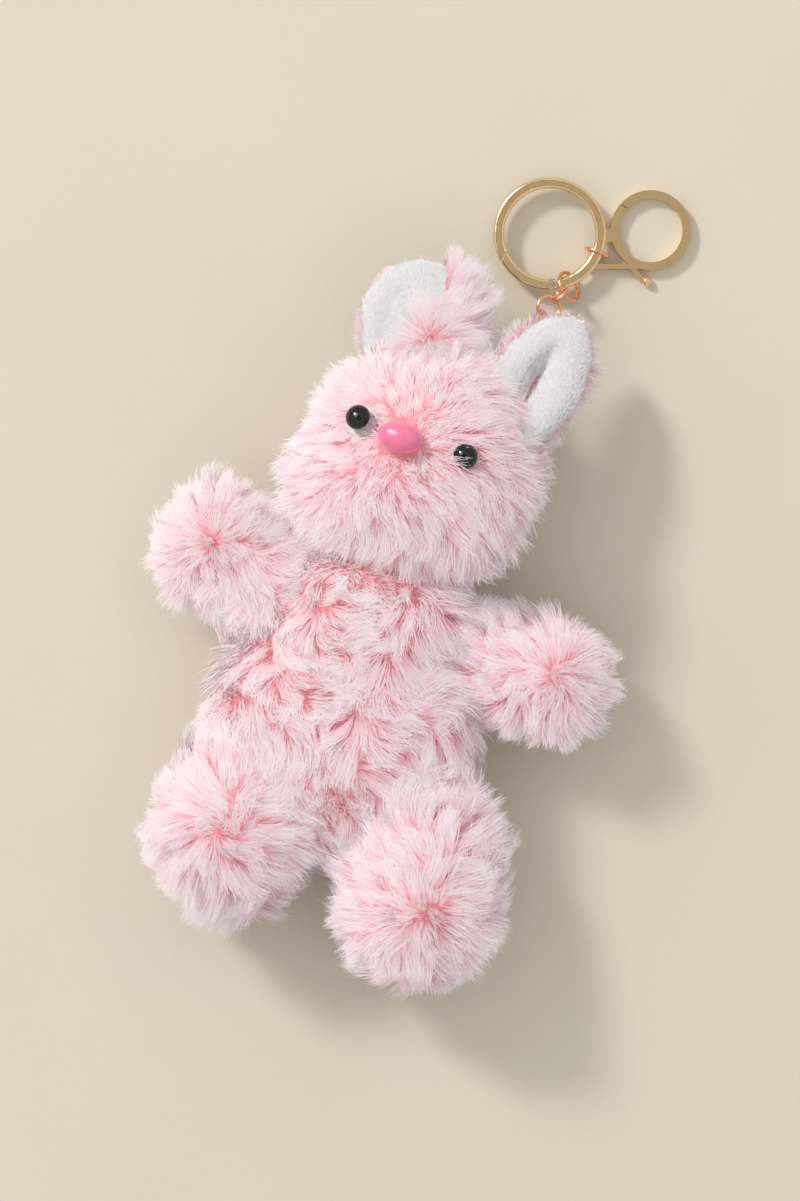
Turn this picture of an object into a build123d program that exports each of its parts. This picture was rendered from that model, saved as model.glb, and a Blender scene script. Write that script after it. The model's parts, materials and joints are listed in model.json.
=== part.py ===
from build123d import *
import math
import os

# Plush bunny keychain, millimetres, lying on its back.
# +Z is up from the table, the head points along +Y and the belly faces up.
# Everything is laid out from a point on the table under the middle of the body,
# and the finished set is moved so that the origin is the bottom centre of its box.

# ---- plush body: full sizes of the padded forms without their long pile ----
COVER = 2.5                 # pile fabric and its dense underfur
SEAM_GAP = 0.5              # clear space between limbs that move on each other

TORSO_SIZE = (75.0, 77.0, 48.0)
TORSO_AT = (1.5, -21.0)
TORSO_SINK = 2.0            # how far the round back is flattened by the table

HEAD_SIZE = (71.0, 66.0, 56.0)
HEAD_LEAN = -5.0            # sideways offset of the head from the body's middle line
HEAD_RISE = 72.5            # from the body's middle to the head's middle
HEAD_SINK = 2.0
NECK_INSET = 31.0           # neck pivot below the head's middle

PAW_R = 16.2
PAW_LIFT = 17.0             # height of the middle of the paws
SHOULDER_R = 10.0
SHOULDER_Y = 27.5           # above the body's middle
LEFT_PAW_OUT = 53.0
RIGHT_PAW_OUT = 54.5
PAW_DROP = (30.5, 29.5)     # paw middle above the body's middle, left and right
LEFT_SHOULDER_OUT = 30.0
RIGHT_SHOULDER_OUT = 29.0
ARM_SWING = 15.0            # degrees each way

FOOT_R = 22.0
FOOT_LIFT = 22.4
HIP_R = 15.0
LEFT_HIP = (-14.0, -21.0)   # from the body's middle
RIGHT_HIP = (26.0, -21.0)
LEFT_FOOT = (-20.0, -47.5)
RIGHT_FOOT = (37.0, -46.5)
LEG_SWING = 12.0            # degrees outwards

EAR_LENGTH = 33.0
EAR_WIDTH = 25.0
EAR_THICK = 8.0
EAR_LINING = 2.4
EAR_ROOT_R = 4.0
EAR_ROOT_SPAN = 0.62        # shares of the ear's width or length
EAR_BELLY = 0.42
EAR_SHOULDER = 0.82
EAR_SHOULDER_WIDTH = 0.66
EAR_EDGE = 0.3
LINING_WIDTH = 0.72
LINING_LENGTH = 0.88
EAR_LIFT = 24.0
LEFT_EAR = (-10.5, 31.0, 3.0)    # root from the head's middle, then lean in degrees
RIGHT_EAR = (24.0, 22.5, -8.0)
EAR_UP = 40.0
EAR_DOWN = 5.0

# ---- face hardware ----
EYE_D = 7.0
EYE_DOME = 3.0
STEM_D = 1.8
STEM_LENGTH = 7.0
WASHER_D = 9.0
WASHER_T = 1.0
NOSE_SIZE = (12.5, 8.5, 4.2)
WASHER_PLAY = 0.2           # space left round stems and washers
STEM_PLAY = 0.1
BEAD_GAP = 0.05
LEFT_EYE = (-18.0, 6.0)     # from the head's middle
RIGHT_EYE = (13.2, 5.4)
NOSE_AT = (-5.3, 4.4)

# ---- metal rings and chain ----
RING_Z = 4.5                # height of the key ring's middle plane
KEY_RING_ID = 25.6
KEY_RING_OD = 32.0
KEY_RING_T = 3.0
KEY_RING_EDGE = 0.9
KEY_RING_AT = (10.4, 146.4)     # from the body's middle
GATE_TIP_ANGLE = 225.5
GATE_PIN_ANGLE = 293.0
GATE_GAP = 0.12
TIP_MARGIN = 20.0           # degrees cut past a gate's tip before its round end is made
GATE_PIN_D = 1.1
GATE_TONGUE_T = 1.3
RUN_FIT = 0.05              # radial clearance of a pin that turns
KNUCKLE_PLAY = 0.15
CHEEK_INSET = 0.25          # cheeks stand back from the band's faces
PIN_INSET = 0.3
SPRING_BORE_R = 0.7
SPRING_BORE_LENGTH = 3.2
SPRING_BORE_TURN = 96.0     # from the pin's own direction to the bore's
SPRING_TURNS = 5

RING_LINK_ROOM = 5.86        # how much wider the ring link is than the band it holds
RING_LINK_WIRE = 1.2
RING_LINK_ANGLE = 309.0
RING_LINK_ROLL = 55.0
RING_LINK_CONTACT = 76.0    # where the first small link hangs on the ring link
CHAIN_HEADING = 248.0
SMALL_LINK_D = 6.2
SMALL_LINK_WIRE = 1.0
LOOP_RING_D = 7.7
LOOP_RING_WIRE = 1.1
LINK_PLAY = 0.12
CHAIN_RISE = 0.22           # slope of the small links up to the head
LOOP_SLOPE = 0.36
LOOP_WIDTH = 2.6
LOOP_TAPE = 0.7
LOOP_DEPTH = 2.6              # how far the tape runs on inside the head cover

CLASP_T = 2.6
CLASP_Z = 1.5
CLASP_ID = 18.0
CLASP_WALL = 2.35
CLASP_AT = (37.1, 156.8)    # ring middle from the body's middle
CLASP_BAR = 1.5
CLASP_BAR_ANGLE = 19.0
CLASP_BAR_LENGTH = 18.0
CLASP_WALL_T = 1.1          # thinned wall that the clasp link goes round
CLASP_WALL_DROP = 0.35      # its top stays under the key ring as the clasp flips
CLASP_PIVOT_ANGLE = 205.9
CLASP_PIVOT_OUT = 1.5       # pivot outside the ring's middle line
CLASP_TIP_ANGLE = 157.0
CLASP_HUB_R = 2.0
HUB_PLAY = 0.3
HUB_OVERLAP = 4.0           # degrees of ring kept on the gate's side of the hub
BRIDGE_ANGLE = 20.0         # the gate's thin root beside the hub
LEVER_T = 1.1
LEVER_WIDTH = 1.5
LEVER_SLOT = 1.4
LEVER_SLOT_R = 16.5
LEVER_STEPS = 8
LEVER_BEND = ((250.0, 0.0), (263.0, 1.6), (276.0, 3.4), (284.5, 4.2))
BALL_D = 2.7
RIVET_D = 1.1
CLASP_LINK_D = 7.8
CLASP_LINK_WIRE = 1.0
CLASP_LINK_ANGLE = 358.0
CLASP_LINK_Z = 3.95
SPRING_WIRE = 0.28
COIL_PLAY = 0.04
COIL_OVER_RIVET = 0.35

REACH = 200.0               # size of cutting blocks, beyond every piece
RIM_STEPS = 8

NODES = {}


def add(name, shape):
    """Keep one finished piece under its name."""
    NODES[name] = shape


def place(offset, z):
    """A point given from the body's middle."""
    return Vector(TORSO_AT[0] + offset[0], TORSO_AT[1] + offset[1], z)


def ellipsoid(size, centre):
    """A padded blob of three full sizes about a centre."""
    ball = scale(Sphere(0.5), by=size)
    return Pos(*centre) * ball


def shrunk(size, wall):
    """The sizes left inside a wall."""
    return tuple(s - 2 * wall for s in size)


def slab(z_low, z_high, centre):
    """A wide block between two heights, used to cut padded forms."""
    height = z_high - z_low
    return Pos(centre.X, centre.Y, z_low + height / 2) * Box(REACH, REACH, height)


def biggest(shape):
    """The largest solid of a cut, without loose slivers."""
    return max(shape.solids(), key=lambda s: s.volume)


def surface_point(offset, size, centre):
    """Point and outward normal on the upper side of an ellipsoid."""
    a, b, c = (s / 2 for s in size)
    x, y = offset
    z = c * math.sqrt(1 - (x / a) ** 2 - (y / b) ** 2)
    normal = Vector(x / a**2, y / b**2, z / c**2).normalized()
    return Vector(centre) + Vector(x, y, z), normal


def way_in(start, direction, size, centre):
    """Distance from a point to where a line enters an ellipsoid, or passes nearest to its middle."""
    half = [s / 2 for s in size]
    away = [(p - q) / h for p, q, h in zip(start, centre, half)]
    step = [d / h for d, h in zip(direction, half)]
    speed = sum(d * d for d in step)
    nearest = -sum(p * d for p, d in zip(away, step)) / speed
    inside = nearest**2 - (sum(p * p for p in away) - 1) / speed
    return nearest - math.sqrt(max(inside, 0.0))


def torus_link(centre, x_dir, normal, outer_d, wire):
    """A round wire ring in the plane of a centre, a direction and a normal."""
    plane = Plane(origin=centre, x_dir=x_dir, z_dir=normal)
    return plane.location * Torus((outer_d - wire) / 2, wire / 2)


# ---------------- padded forms ----------------
torso_c = place((0, 0), TORSO_SIZE[2] / 2 - TORSO_SINK)
head_c = place((HEAD_LEAN, HEAD_RISE), HEAD_SIZE[2] / 2 - HEAD_SINK)
neck = head_c - Vector(0, NECK_INSET, 0)
UP = (0, 0, 1)

SIDES = ("left", "right")
paw_c = {
    "left": place((-LEFT_PAW_OUT, PAW_DROP[0]), PAW_LIFT),
    "right": place((RIGHT_PAW_OUT, PAW_DROP[1]), PAW_LIFT),
}
shoulder = {
    "left": place((-LEFT_SHOULDER_OUT, SHOULDER_Y), PAW_LIFT),
    "right": place((RIGHT_SHOULDER_OUT, SHOULDER_Y), PAW_LIFT),
}
hip = {"left": place(LEFT_HIP, FOOT_LIFT), "right": place(RIGHT_HIP, FOOT_LIFT)}
foot_c = {"left": place(LEFT_FOOT, FOOT_LIFT), "right": place(RIGHT_FOOT, FOOT_LIFT)}


def limb(root, root_r, end, end_r):
    """A stub at the joint and a round end, with the straight cone that touches both."""
    reach = end - root
    lean = math.asin((end_r - root_r) / reach.length)
    low = (root_r * math.cos(lean), -root_r * math.sin(lean))
    high = (end_r * math.cos(lean), reach.length - end_r * math.sin(lean))
    side = math.radians(45) - lean / 2
    low_mid = (root_r * math.sin(side), -root_r * math.cos(side))
    top = math.radians(45) + lean / 2
    high_mid = (end_r * math.sin(top), reach.length + end_r * math.cos(top))
    outline = [
        ThreePointArc((0, -root_r), low_mid, low),
        Line(low, high),
        ThreePointArc(high, high_mid, (0, reach.length + end_r)),
        Line((0, reach.length + end_r), (0, -root_r)),
    ]
    form = revolve(Plane.XZ * make_face(outline), Axis.Z, 360)
    return Plane(origin=root, z_dir=reach).location * form


def arm_form(side, grow=0.0):
    """Arm outline, grown for clearance or shrunk for stuffing."""
    return limb(shoulder[side], SHOULDER_R + grow, paw_c[side], PAW_R + grow)


def leg_form(side, grow=0.0):
    """Leg outline, grown for clearance or shrunk for stuffing."""
    return limb(hip[side], HIP_R + grow, foot_c[side], FOOT_R + grow)


def make_limbs():
    """Arms and legs, each a sewn cover round its stuffing."""
    for side in SIDES:
        for name, form in (("arm", arm_form), ("leg", leg_form)):
            stuffing = form(side, grow=-COVER)
            add(f"{name}_{side}_stuffing", stuffing)
            add(f"{name}_{side}_cover", form(side) - stuffing)


def ear_frame(side):
    """Plane at an ear's root: x along the ear, y across it, z up."""
    x, y, lean = LEFT_EAR if side == "left" else RIGHT_EAR
    root = Vector(head_c.X + x, head_c.Y + y, EAR_LIFT)
    along = Vector(0, 1, 0).rotate(Axis.Z, lean)
    return Plane(origin=root, x_dir=along, z_dir=UP)


def ear_outline(width, length):
    """Rounded ear outline, from a narrow root to a blunt tip."""
    half = width / 2
    points = [
        (0, EAR_ROOT_SPAN * half),
        (EAR_BELLY * length, half),
        (EAR_SHOULDER * length, EAR_SHOULDER_WIDTH * half),
        (length, 0),
    ]
    side = Spline(points, tangents=[(1, 0.35), (0, -1)])
    other = mirror(side, Plane.XZ)
    base = Line((0, -EAR_ROOT_SPAN * half), (0, EAR_ROOT_SPAN * half))
    return make_face([side, other, base])


def make_ears():
    """Ears: a pile-fabric back with rolled edge and a short-pile lining on top."""
    for side in SIDES:
        frame = ear_frame(side)
        outline = ear_outline(EAR_WIDTH, EAR_LENGTH)
        pad = extrude(outline, EAR_THICK / 2, both=True)
        edges = pad.edges().filter_by(lambda e: e.center().X > 0.5)
        rims = [e for e in edges if abs(abs(e.center().Z) - EAR_THICK / 2) < 0.01]
        pad = fillet(rims, EAR_THICK * EAR_EDGE)
        root = Rot(90, 0, 0) * Cylinder(EAR_ROOT_R, EAR_WIDTH * EAR_ROOT_SPAN)
        pad = pad + root
        inner = ear_outline(EAR_WIDTH * LINING_WIDTH, EAR_LENGTH * LINING_LENGTH)
        lining = Pos(0, 0, EAR_THICK / 2 - EAR_LINING) * extrude(inner, EAR_LINING)
        lining = lining & Pos(EAR_LENGTH / 2 + EAR_ROOT_R + 1, 0, 0) * Box(
            EAR_LENGTH, EAR_WIDTH, 4 * EAR_THICK
        )
        add(f"ear_{side}_outer", frame.location * (pad - lining))
        add(f"ear_{side}_lining", frame.location * lining)


def ear_socket(side):
    """Round pocket in the head that an ear's root turns in."""
    frame = ear_frame(side)
    length = EAR_WIDTH * EAR_ROOT_SPAN + 2 * SEAM_GAP
    root = Rot(90, 0, 0) * Cylinder(EAR_ROOT_R + SEAM_GAP, length)
    inner = -EAR_ROOT_R
    height = EAR_THICK + 2 * SEAM_GAP
    pad = Pos(inner + EAR_LENGTH, 0, 0) * Box(2 * EAR_LENGTH, EAR_WIDTH + 2 * SEAM_GAP, height)
    pad = pad & Pos(EAR_LENGTH, 0, 0) * Box(2 * EAR_LENGTH, 2 * EAR_WIDTH, 4 * EAR_THICK)
    blank = root
    for angle in (-EAR_DOWN, 0, EAR_UP / 3, 2 * EAR_UP / 3, EAR_UP):
        blank = blank + Rot(0, -angle, 0) * pad
    return frame.location * blank


def face_stem(offset):
    """Frame on the face: origin on the cloth, z straight out of it."""
    point, normal = surface_point(offset, HEAD_SIZE, head_c)
    across = Vector(1, 0, 0)
    across = (across - normal * across.dot(normal)).normalized()
    return Plane(origin=point, x_dir=across, z_dir=normal)


def eye_bead():
    """Domed bead with its stem."""
    dome = scale(Sphere(0.5), by=(EYE_D, EYE_D, 2 * EYE_DOME))
    dome = dome & Pos(0, 0, EYE_DOME) * Box(2 * EYE_D, 2 * EYE_D, 2 * EYE_DOME)
    stem = Pos(0, 0, -STEM_LENGTH / 2) * Cylinder(STEM_D / 2, STEM_LENGTH)
    return dome + stem


def nose_bead():
    """Oval domed nose with its stem."""
    length, width, rise = NOSE_SIZE
    dome = scale(Sphere(0.5), by=(length, width, 2 * rise))
    dome = dome & Pos(0, 0, rise) * Box(2 * length, 2 * width, 2 * rise)
    stem = Pos(0, 0, -STEM_LENGTH / 2) * Cylinder(STEM_D / 2, STEM_LENGTH)
    return dome + stem


def washer():
    """Locking washer that grips a stem behind the cloth."""
    ring = Cylinder(WASHER_D / 2, WASHER_T) - Cylinder(STEM_D / 2, 2 * WASHER_T)
    sag = (WASHER_D / 2) ** 2 / min(HEAD_SIZE)
    return Pos(0, 0, -COVER - sag - WASHER_PLAY - STEM_PLAY - WASHER_T / 2) * ring


def make_head():
    """Head covers, stuffing, eyes, nose and their washers."""
    frames = {
        "eye_left": face_stem(LEFT_EYE),
        "eye_right": face_stem(RIGHT_EYE),
        "nose": face_stem(NOSE_AT),
    }
    outer = ellipsoid(HEAD_SIZE, head_c)
    inner = ellipsoid(shrunk(HEAD_SIZE, COVER), head_c)
    floor = slab(-REACH, 0, head_c)
    inner_floor = slab(-REACH, COVER, head_c)
    sockets = [ear_socket(side) for side in SIDES]
    outer = outer - floor
    inner = inner - inner_floor
    for pocket in sockets:
        outer = outer - pocket
        inner = inner - pocket
    outer = outer - tape_cut
    inner = inner - tape_cut
    stuffing = inner
    for name, frame in frames.items():
        bead = nose_bead() if name == "nose" else eye_bead()
        add(name, frame.location * Pos(0, 0, BEAD_GAP) * bead)
        ring = washer()
        label = "nose_washer" if name == "nose" else name.replace("eye", "eye_washer")
        add(label, frame.location * ring)
        hole = frame.location * Pos(0, 0, -STEM_PLAY) * Cylinder(STEM_D / 2, 2 * STEM_LENGTH)
        depth = COVER + 2 * WASHER_T
        block = Cylinder(WASHER_D / 2 + WASHER_PLAY, depth)
        block = frame.location * Pos(0, 0, -depth / 2 - WASHER_PLAY) * block
        stuffing = stuffing - block - hole
        outer = outer - hole
    shell = outer - inner
    add("head_stuffing", biggest(stuffing))
    add("head_front_cover", biggest(shell & slab(head_c.Z, REACH, head_c)))
    add("head_back_cover", biggest(shell & slab(-REACH, head_c.Z, head_c)))


def sweep_room(root, end, swing):
    """How far a limb's end travels when it swings from rest."""
    return 2 * (end - root).length * math.sin(math.radians(swing) / 2)


def limb_pockets(extra):
    """Space for the shoulders and legs where they turn beside the torso."""
    gap = SEAM_GAP + extra
    pockets = []
    for side in SIDES:
        arm_end = PAW_R + gap + sweep_room(shoulder[side], paw_c[side], ARM_SWING)
        pockets.append(limb(shoulder[side], SHOULDER_R + gap, paw_c[side], arm_end))
        leg_end = FOOT_R + gap + sweep_room(hip[side], foot_c[side], LEG_SWING)
        pockets.append(limb(hip[side], HIP_R + gap, foot_c[side], leg_end))
    return pockets


def make_torso():
    """Torso covers and stuffing, hollowed where arms and legs turn."""
    outer = ellipsoid(TORSO_SIZE, torso_c) - slab(-REACH, 0, torso_c)
    inner = ellipsoid(shrunk(TORSO_SIZE, COVER), torso_c) - slab(-REACH, COVER, torso_c)
    for pocket in limb_pockets(0.0):
        outer = outer - pocket
    for pocket in limb_pockets(COVER):
        inner = inner - pocket
    outer = biggest(outer)
    inner = biggest(inner)
    add("torso_stuffing", inner)
    add("torso_front_cover", biggest((outer & slab(torso_c.Z, REACH, torso_c)) - inner))
    add("torso_back_cover", biggest((outer & slab(-REACH, torso_c.Z, torso_c)) - inner))


# ---------------- metal rings and chain ----------------
ring_c = place(KEY_RING_AT, RING_Z)
ring_mid = (KEY_RING_OD + KEY_RING_ID) / 4
ring_band = (KEY_RING_OD - KEY_RING_ID) / 2
band_reach = math.hypot(ring_band / 2 - KEY_RING_EDGE, KEY_RING_T / 2 - KEY_RING_EDGE) + KEY_RING_EDGE


def polar(centre, radius, angle):
    """Point at a radius and angle round a centre, at the centre's height."""
    a = math.radians(angle)
    return centre + Vector(radius * math.cos(a), radius * math.sin(a), 0)


def heading(angle):
    """Unit vector in the table plane."""
    return polar(Vector(0, 0, 0), 1, angle)


def unit(vector):
    """A vector made one long."""
    return vector.normalized()


gate_pin_at = polar(ring_c, ring_mid, GATE_PIN_ANGLE)
gate_tip_at = polar(ring_c, ring_mid, GATE_TIP_ANGLE)
gate_reach = (gate_tip_at - gate_pin_at).length

# ring link: hooks round the key ring's band and leans over
link_out = heading(RING_LINK_ANGLE)
link_along = heading(RING_LINK_ANGLE - 90)
roll = math.radians(RING_LINK_ROLL)
link_side = link_along * math.cos(roll) + Vector(0, 0, math.sin(roll))
ring_link_d = 2 * band_reach + RING_LINK_ROOM
ring_link_r = (ring_link_d - RING_LINK_WIRE) / 2
ring_link_shift = ring_link_r - band_reach - RING_LINK_WIRE / 2 - 3 * LINK_PLAY
ring_link_c = polar(ring_c, ring_mid + ring_link_shift, RING_LINK_ANGLE)
ring_link_n = unit(link_out.cross(link_side))
band_at = polar(ring_c, ring_mid, RING_LINK_ANGLE)

# the small links lead from the ring link back to the head
link_contact_angle = math.radians(RING_LINK_CONTACT)
contact_out = link_out * math.cos(link_contact_angle) + link_side * math.sin(link_contact_angle)
contact_1 = ring_link_c + contact_out * ring_link_r
tangent_1 = unit(link_side * math.cos(link_contact_angle) - link_out * math.sin(link_contact_angle))


def next_link(contact, tangent, direction, wire_before, outer_d, wire):
    """Centre, normal and far point of a link hung on a wire at a contact."""
    radius = (outer_d - wire) / 2
    near = contact - direction * ((wire_before + wire) / 2 + LINK_PLAY)
    centre = near + direction * radius
    normal = unit(tangent - direction * tangent.dot(direction))
    far = centre + direction * radius
    return near, centre, normal, far


small_dir = unit(heading(CHAIN_HEADING) + Vector(0, 0, CHAIN_RISE))
small_near, small_c, small_n, small_far = next_link(
    contact_1, tangent_1, small_dir, RING_LINK_WIRE, SMALL_LINK_D, SMALL_LINK_WIRE
)
small_tangent = unit(small_n.cross(small_dir))
loop_near, loop_c, loop_n, loop_far = next_link(
    small_far, small_tangent, small_dir, SMALL_LINK_WIRE, LOOP_RING_D, LOOP_RING_WIRE
)
loop_tangent = unit(loop_n.cross(small_dir))
tape_dir = unit(heading(CHAIN_HEADING) + Vector(0, 0, LOOP_SLOPE))
tape_axis = unit(loop_tangent - tape_dir * loop_tangent.dot(tape_dir))
loop_ring_r = (LOOP_RING_D - LOOP_RING_WIRE) / 2
tape_bend = LOOP_RING_WIRE / 2 + LINK_PLAY + (LOOP_WIDTH / 2) ** 2 / (2 * loop_ring_r) + 0.05
tape_end = loop_far
tape_length = way_in(tape_end, tape_dir, HEAD_SIZE, head_c) + LOOP_DEPTH


def tape_solid(grow=0.0):
    """Flat tape loop: two layers that turn back round the first ring."""
    plane = Plane(origin=tape_end, x_dir=tape_dir, z_dir=tape_axis)
    outer_r = tape_bend + LOOP_TAPE
    outer = Pos(tape_length / 2 - outer_r, 0) * SlotOverall(
        tape_length + 2 * grow, 2 * (outer_r + grow)
    )
    body = extrude(outer, LOOP_WIDTH / 2 + grow, both=True)
    if grow == 0.0:
        inner_r = tape_bend
        inner = Pos(tape_length / 2 - outer_r, 0) * SlotOverall(
            tape_length - 2 * LOOP_TAPE, 2 * inner_r
        )
        body = body - extrude(inner, LOOP_WIDTH, both=True)
    return plane.location * body


tape_cut = tape_solid(grow=0.05)


def band_section():
    """Rounded section of the key ring, ready to turn about its axis."""
    return Plane.XZ * Pos(ring_mid, 0) * RectangleRounded(ring_band, KEY_RING_T, KEY_RING_EDGE)


def sector(start, end, radius, height):
    """Upright block between two angles, for cutting rings."""
    steps = [start + (end - start) * i / RIM_STEPS for i in range(RIM_STEPS + 1)]
    rim = [(radius * math.cos(math.radians(a)), radius * math.sin(math.radians(a))) for a in steps]
    face = make_face(Polyline([(0, 0)] + rim, close=True))
    return extrude(face, height, both=True)


def make_key_ring():
    """Spring-gate ring: body, hinged gate, hinge pin and gate spring."""
    at = Pos(*ring_c)
    full = at * revolve(band_section(), Axis.Z, 360)
    gate_zone = at * sector(GATE_TIP_ANGLE - TIP_MARGIN, GATE_PIN_ANGLE, 2 * KEY_RING_OD, REACH)
    reach_out = Pos(*gate_pin_at) * Cylinder(gate_reach + GATE_GAP, REACH)
    reach_in = Pos(*gate_pin_at) * Cylinder(gate_reach - GATE_GAP, REACH)
    cheek_r = ring_band / 2
    slot_r = cheek_r + KNUCKLE_PLAY
    knuckle = Pos(*gate_pin_at) * Cylinder(cheek_r - RUN_FIT, GATE_TONGUE_T)
    slot = Pos(*gate_pin_at) * Cylinder(slot_r, GATE_TONGUE_T + 4 * RUN_FIT)
    clear_round = Pos(*gate_pin_at) * Cylinder(slot_r, REACH)
    cheeks = Pos(*gate_pin_at) * Cylinder(cheek_r, KEY_RING_T - 2 * CHEEK_INSET)
    body = (full - (gate_zone & reach_out)) + cheeks
    body = biggest(body - slot)
    # room behind the knuckle for the spring, along the band
    spring_dir = heading(GATE_PIN_ANGLE + SPRING_BORE_TURN)
    bore_start = gate_pin_at + spring_dir * (slot_r - 2 * KNUCKLE_PLAY)
    bore_plane = Plane(origin=bore_start, z_dir=spring_dir)
    bore = Pos(0, 0, SPRING_BORE_LENGTH / 2) * Cylinder(SPRING_BORE_R, SPRING_BORE_LENGTH)
    bore = bore_plane.location * bore
    pin_hole = Pos(*gate_pin_at) * Cylinder(GATE_PIN_D / 2, REACH)
    body = body - bore - pin_hole
    add("key_ring_body", body)
    thick = (full & gate_zone & reach_in) - clear_round
    tongue = (full & gate_zone & reach_in) & Pos(*ring_c) * Box(REACH, REACH, GATE_TONGUE_T)
    gate = thick + tongue + knuckle
    gate = gate - Pos(*gate_pin_at) * Cylinder(GATE_PIN_D / 2 + RUN_FIT, REACH)
    add("key_ring_gate", biggest(gate))
    pin = Cylinder(GATE_PIN_D / 2, KEY_RING_T - 2 * PIN_INSET)
    add("key_ring_gate_pin", Pos(*gate_pin_at) * pin)
    clear_end = 3 * KNUCKLE_PLAY
    height = SPRING_BORE_LENGTH - clear_end - SPRING_WIRE
    coil = coil_solid(SPRING_BORE_R - SPRING_WIRE / 2 - COIL_PLAY, SPRING_WIRE, height, SPRING_TURNS)
    seat = Pos(0, 0, clear_end - COIL_PLAY + SPRING_WIRE / 2)
    add("key_ring_gate_spring", bore_plane.location * seat * coil)


def make_chain():
    """Jump ring round the key ring, one small link, the loop ring and the tape."""
    add("ring_link", torus_link(ring_link_c, link_out, ring_link_n, ring_link_d, RING_LINK_WIRE))
    add("chain_link", torus_link(small_c, small_dir, small_n, SMALL_LINK_D, SMALL_LINK_WIRE))
    add("loop_ring", torus_link(loop_c, small_dir, loop_n, LOOP_RING_D, LOOP_RING_WIRE))
    add("hang_loop", tape_solid())


# ---------------- trigger clasp ----------------
clasp_c = place(CLASP_AT, CLASP_Z)
clasp_mid = CLASP_ID / 2 + CLASP_WALL / 2
clasp_pivot = polar(clasp_c, clasp_mid + CLASP_PIVOT_OUT, CLASP_PIVOT_ANGLE)
clasp_tip = polar(clasp_c, clasp_mid, CLASP_TIP_ANGLE)
clasp_link_r = (CLASP_LINK_D - CLASP_LINK_WIRE) / 2
clasp_link_c = polar(ring_c, ring_mid, CLASP_LINK_ANGLE)
clasp_link_c = Vector(clasp_link_c.X, clasp_link_c.Y, CLASP_LINK_Z)
link_pivot = polar(ring_c, ring_mid, CLASP_LINK_ANGLE)
bar_start = polar(clasp_c, clasp_mid, 270 + CLASP_BAR_ANGLE)
bar_dir = heading(180 + CLASP_BAR_ANGLE)
apex = bar_start + bar_dir * CLASP_BAR_LENGTH


def stroke(points, width, height, centre_z):
    """A straight-sided bar of one width along a run of points, with round ends."""
    bars = []
    for a, b in zip(points, points[1:]):
        run = b - a
        frame = Plane(origin=(a + b) / 2, x_dir=run, z_dir=UP)
        bars.append(frame.location * Box(run.length, width, height))
    solid = bars[0]
    for bar in bars[1:]:
        solid = solid + bar
    for p in points:
        solid = solid + Pos(p.X, p.Y, centre_z) * Cylinder(width / 2, height)
    return solid


def arc_points(start, end, count, radius):
    """Points along the clasp ring's middle line."""
    return [polar(clasp_c, radius, start + (end - start) * i / count) for i in range(count + 1)]


def coil_solid(mean_r, wire_d, height, turns):
    """A small wire spring standing on its own plane."""
    path = Helix(height / turns, height, mean_r)
    start = Plane(origin=path @ 0, z_dir=path % 0)
    return sweep(start * Circle(wire_d / 2), path=path)


def clasp_spring():
    """Torsion coil round the rivet, in the gap between the trigger and the upper cheek."""
    gap = (LEVER_SLOT - LEVER_T) / 2
    wire = 0.6 * gap
    coil = coil_solid(RIVET_D / 2 + COIL_OVER_RIVET, wire, wire / 3, 1)
    base = CLASP_Z + LEVER_T / 2 + 2 * wire / 3
    return Pos(clasp_pivot.X, clasp_pivot.Y, base) * coil


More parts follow.
